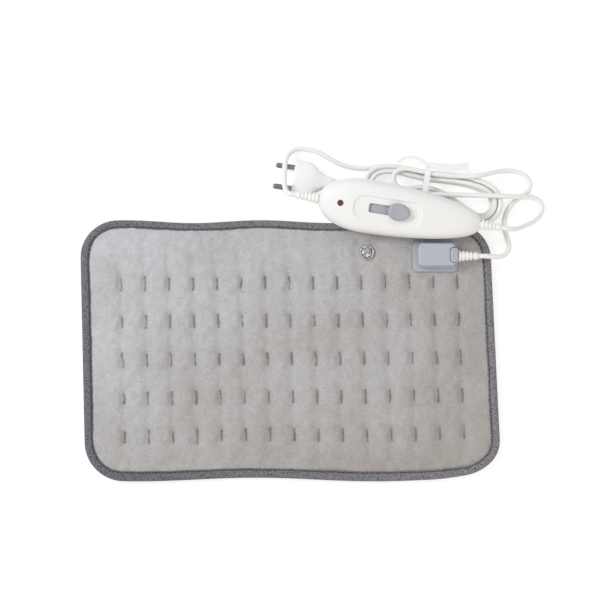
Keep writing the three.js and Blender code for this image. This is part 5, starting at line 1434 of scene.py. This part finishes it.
def tie():
    """Flat band round the hank's waist, with a turned-back loop and a tail."""
    x, y, heading = spine_at(WAIST_SHARE)
    innermost = WAIST + CORD / 2 + TIE_ROOM
    far = innermost + abs(WAIST_SHARE * RUN_SHARE - REVERSAL) * STRAND_PITCH
    near = innermost + abs(HANK_TURNS - WAIST_SHARE * RUN_SHARE - REVERSAL) * STRAND_PITCH
    height = PILE_TOP + CORD / 2 + TIE_ROOM - TIE_THICKNESS
    middle = (far - near) / 2
    level = TIE_THICKNESS + height / 2 + 0.1

    def band(across, grow, corner):
        outline = rounded(far + near + grow, height + grow, corner, 5)
        return [Vector((across * TIE_WIDTH / 2, middle + a, level + b)) for a, b in outline]

    outer = 2 * TIE_THICKNESS
    bm = bmesh.new()
    rings = [band(across, outer + crown, CORD / 2)
             for across, crown in ((-1, 0), (-0.8, 0.12), (0.8, 0.12), (1, 0))]
    rings += [band(across, 0, CORD / 2 - TIE_THICKNESS) for across in (1, -1)]
    loft(bm, rings, closed=True)
    wall = far + TIE_THICKNESS / 2
    over = PILE_TOP - CORD / 2 + FIT
    tail = through([(0, wall + 3.0, over + 0.35), (12, wall + 3.2, over + 0.5), (24, wall + 4.6, over + 0.2),
                    (35, wall + 7.2, over + 0.1)], 5)
    strip(bm, tail, [5.8, 5.6, 5.4, 5.8])
    turns = [math.radians(angle) for angle in range(0, 173, 12)]
    length, width = TIE_LOOP
    loop = [Vector((TIE_LOOP_MIDDLE + length * math.cos(turn), wall + width * math.sin(turn), over + 0.35))
            for turn in turns]
    strip(bm, loop, [3.2, 3.2])
    place = Matrix.Translation((x, y, 0)) @ Matrix.Rotation(heading, 4, "Z")
    return piece("hank_tie", bm, TIE_WHITE, "white_plastic", ["cord_tie"], sharp=45, place=place)


hank_tie = tie()

# Floor and light
FLOOR_HALF = 6
FLOOR_BOUNCE = 0.92
FLOOR_SHADE = 0.4
FLOOR_GLOW = 0.7
AMBIENT = 0.63


def grey(value):
    return (value, value, value, 1)


def by_ray(tree, plain, seen):
    """Shader that the camera, mirrors and glass see as one thing, and that lights the object as another."""
    path = add_node(tree, "ShaderNodeLightPath")
    share = path.outputs["Is Camera Ray"]
    for ray in ("Is Glossy Ray", "Is Transmission Ray"):
        inputs = {0: share, 1: path.outputs[ray]}
        share = add_node(tree, "ShaderNodeMath", inputs, operation="MAXIMUM").outputs[0]
    inputs = {0: share, 1: plain.outputs[0], 2: seen.outputs[0]}
    return add_node(tree, "ShaderNodeMixShader", inputs).outputs[0]


def floor_finish():
    """Pale floor that keeps the object's shadow."""
    material = bpy.data.materials.new("pale_floor")
    material.use_nodes = True
    tree = material.node_tree
    tree.nodes.clear()
    plain = add_node(tree, "ShaderNodeBsdfDiffuse", {"Color": grey(FLOOR_BOUNCE)})
    shaded = add_node(tree, "ShaderNodeBsdfDiffuse", {"Color": grey(FLOOR_SHADE)})
    glow = add_node(tree, "ShaderNodeEmission", {"Strength": FLOOR_GLOW})
    seen = add_node(tree, "ShaderNodeAddShader", {0: shaded.outputs[0], 1: glow.outputs[0]})
    add_node(tree, "ShaderNodeOutputMaterial", {"Surface": by_ray(tree, plain, seen)})
    return material


def floor():
    bm = bmesh.new()
    bmesh.ops.create_grid(bm, x_segments=1, y_segments=1, size=FLOOR_HALF)
    mesh = bpy.data.meshes.new("floor")
    bm.to_mesh(mesh)
    bm.free()
    mesh.materials.append(floor_finish())
    put("floor", mesh)


def lamp(name, place, power, size, colour):
    """Round soft lamp that points at the object."""
    light = bpy.data.lights.new(name, "AREA")
    light.energy = power
    light.shape = "DISK"
    light.size = size
    light.color = colour
    obj = put(name, light)
    obj.location = place
    obj.rotation_euler = (VIEW_TARGET - Vector(place)).to_track_quat("-Z", "Y").to_euler()


def surroundings():
    """Even light from all round, seen as plain white."""
    world = bpy.data.worlds.new("studio")
    world.use_nodes = True
    scene.world = world
    tree = world.node_tree
    ambient = tree.nodes["Background"]
    ambient.inputs["Color"].default_value = WHITE_LIGHT
    ambient.inputs["Strength"].default_value = AMBIENT
    white = add_node(tree, "ShaderNodeBackground", {"Color": WHITE_LIGHT})
    tree.links.new(by_ray(tree, ambient, white), tree.nodes["World Output"].inputs["Surface"])


floor()
surroundings()
lamp("key", place=(-1.1, 0.39, 1.12), power=11.8, size=0.56, colour=(0.93, 0.965, 1.0))
lamp("fill", place=(0.55, -0.6, 0.7), power=2.3, size=0.6, colour=(1.0, 0.86, 0.7))
scene.view_settings.view_transform = "Standard"
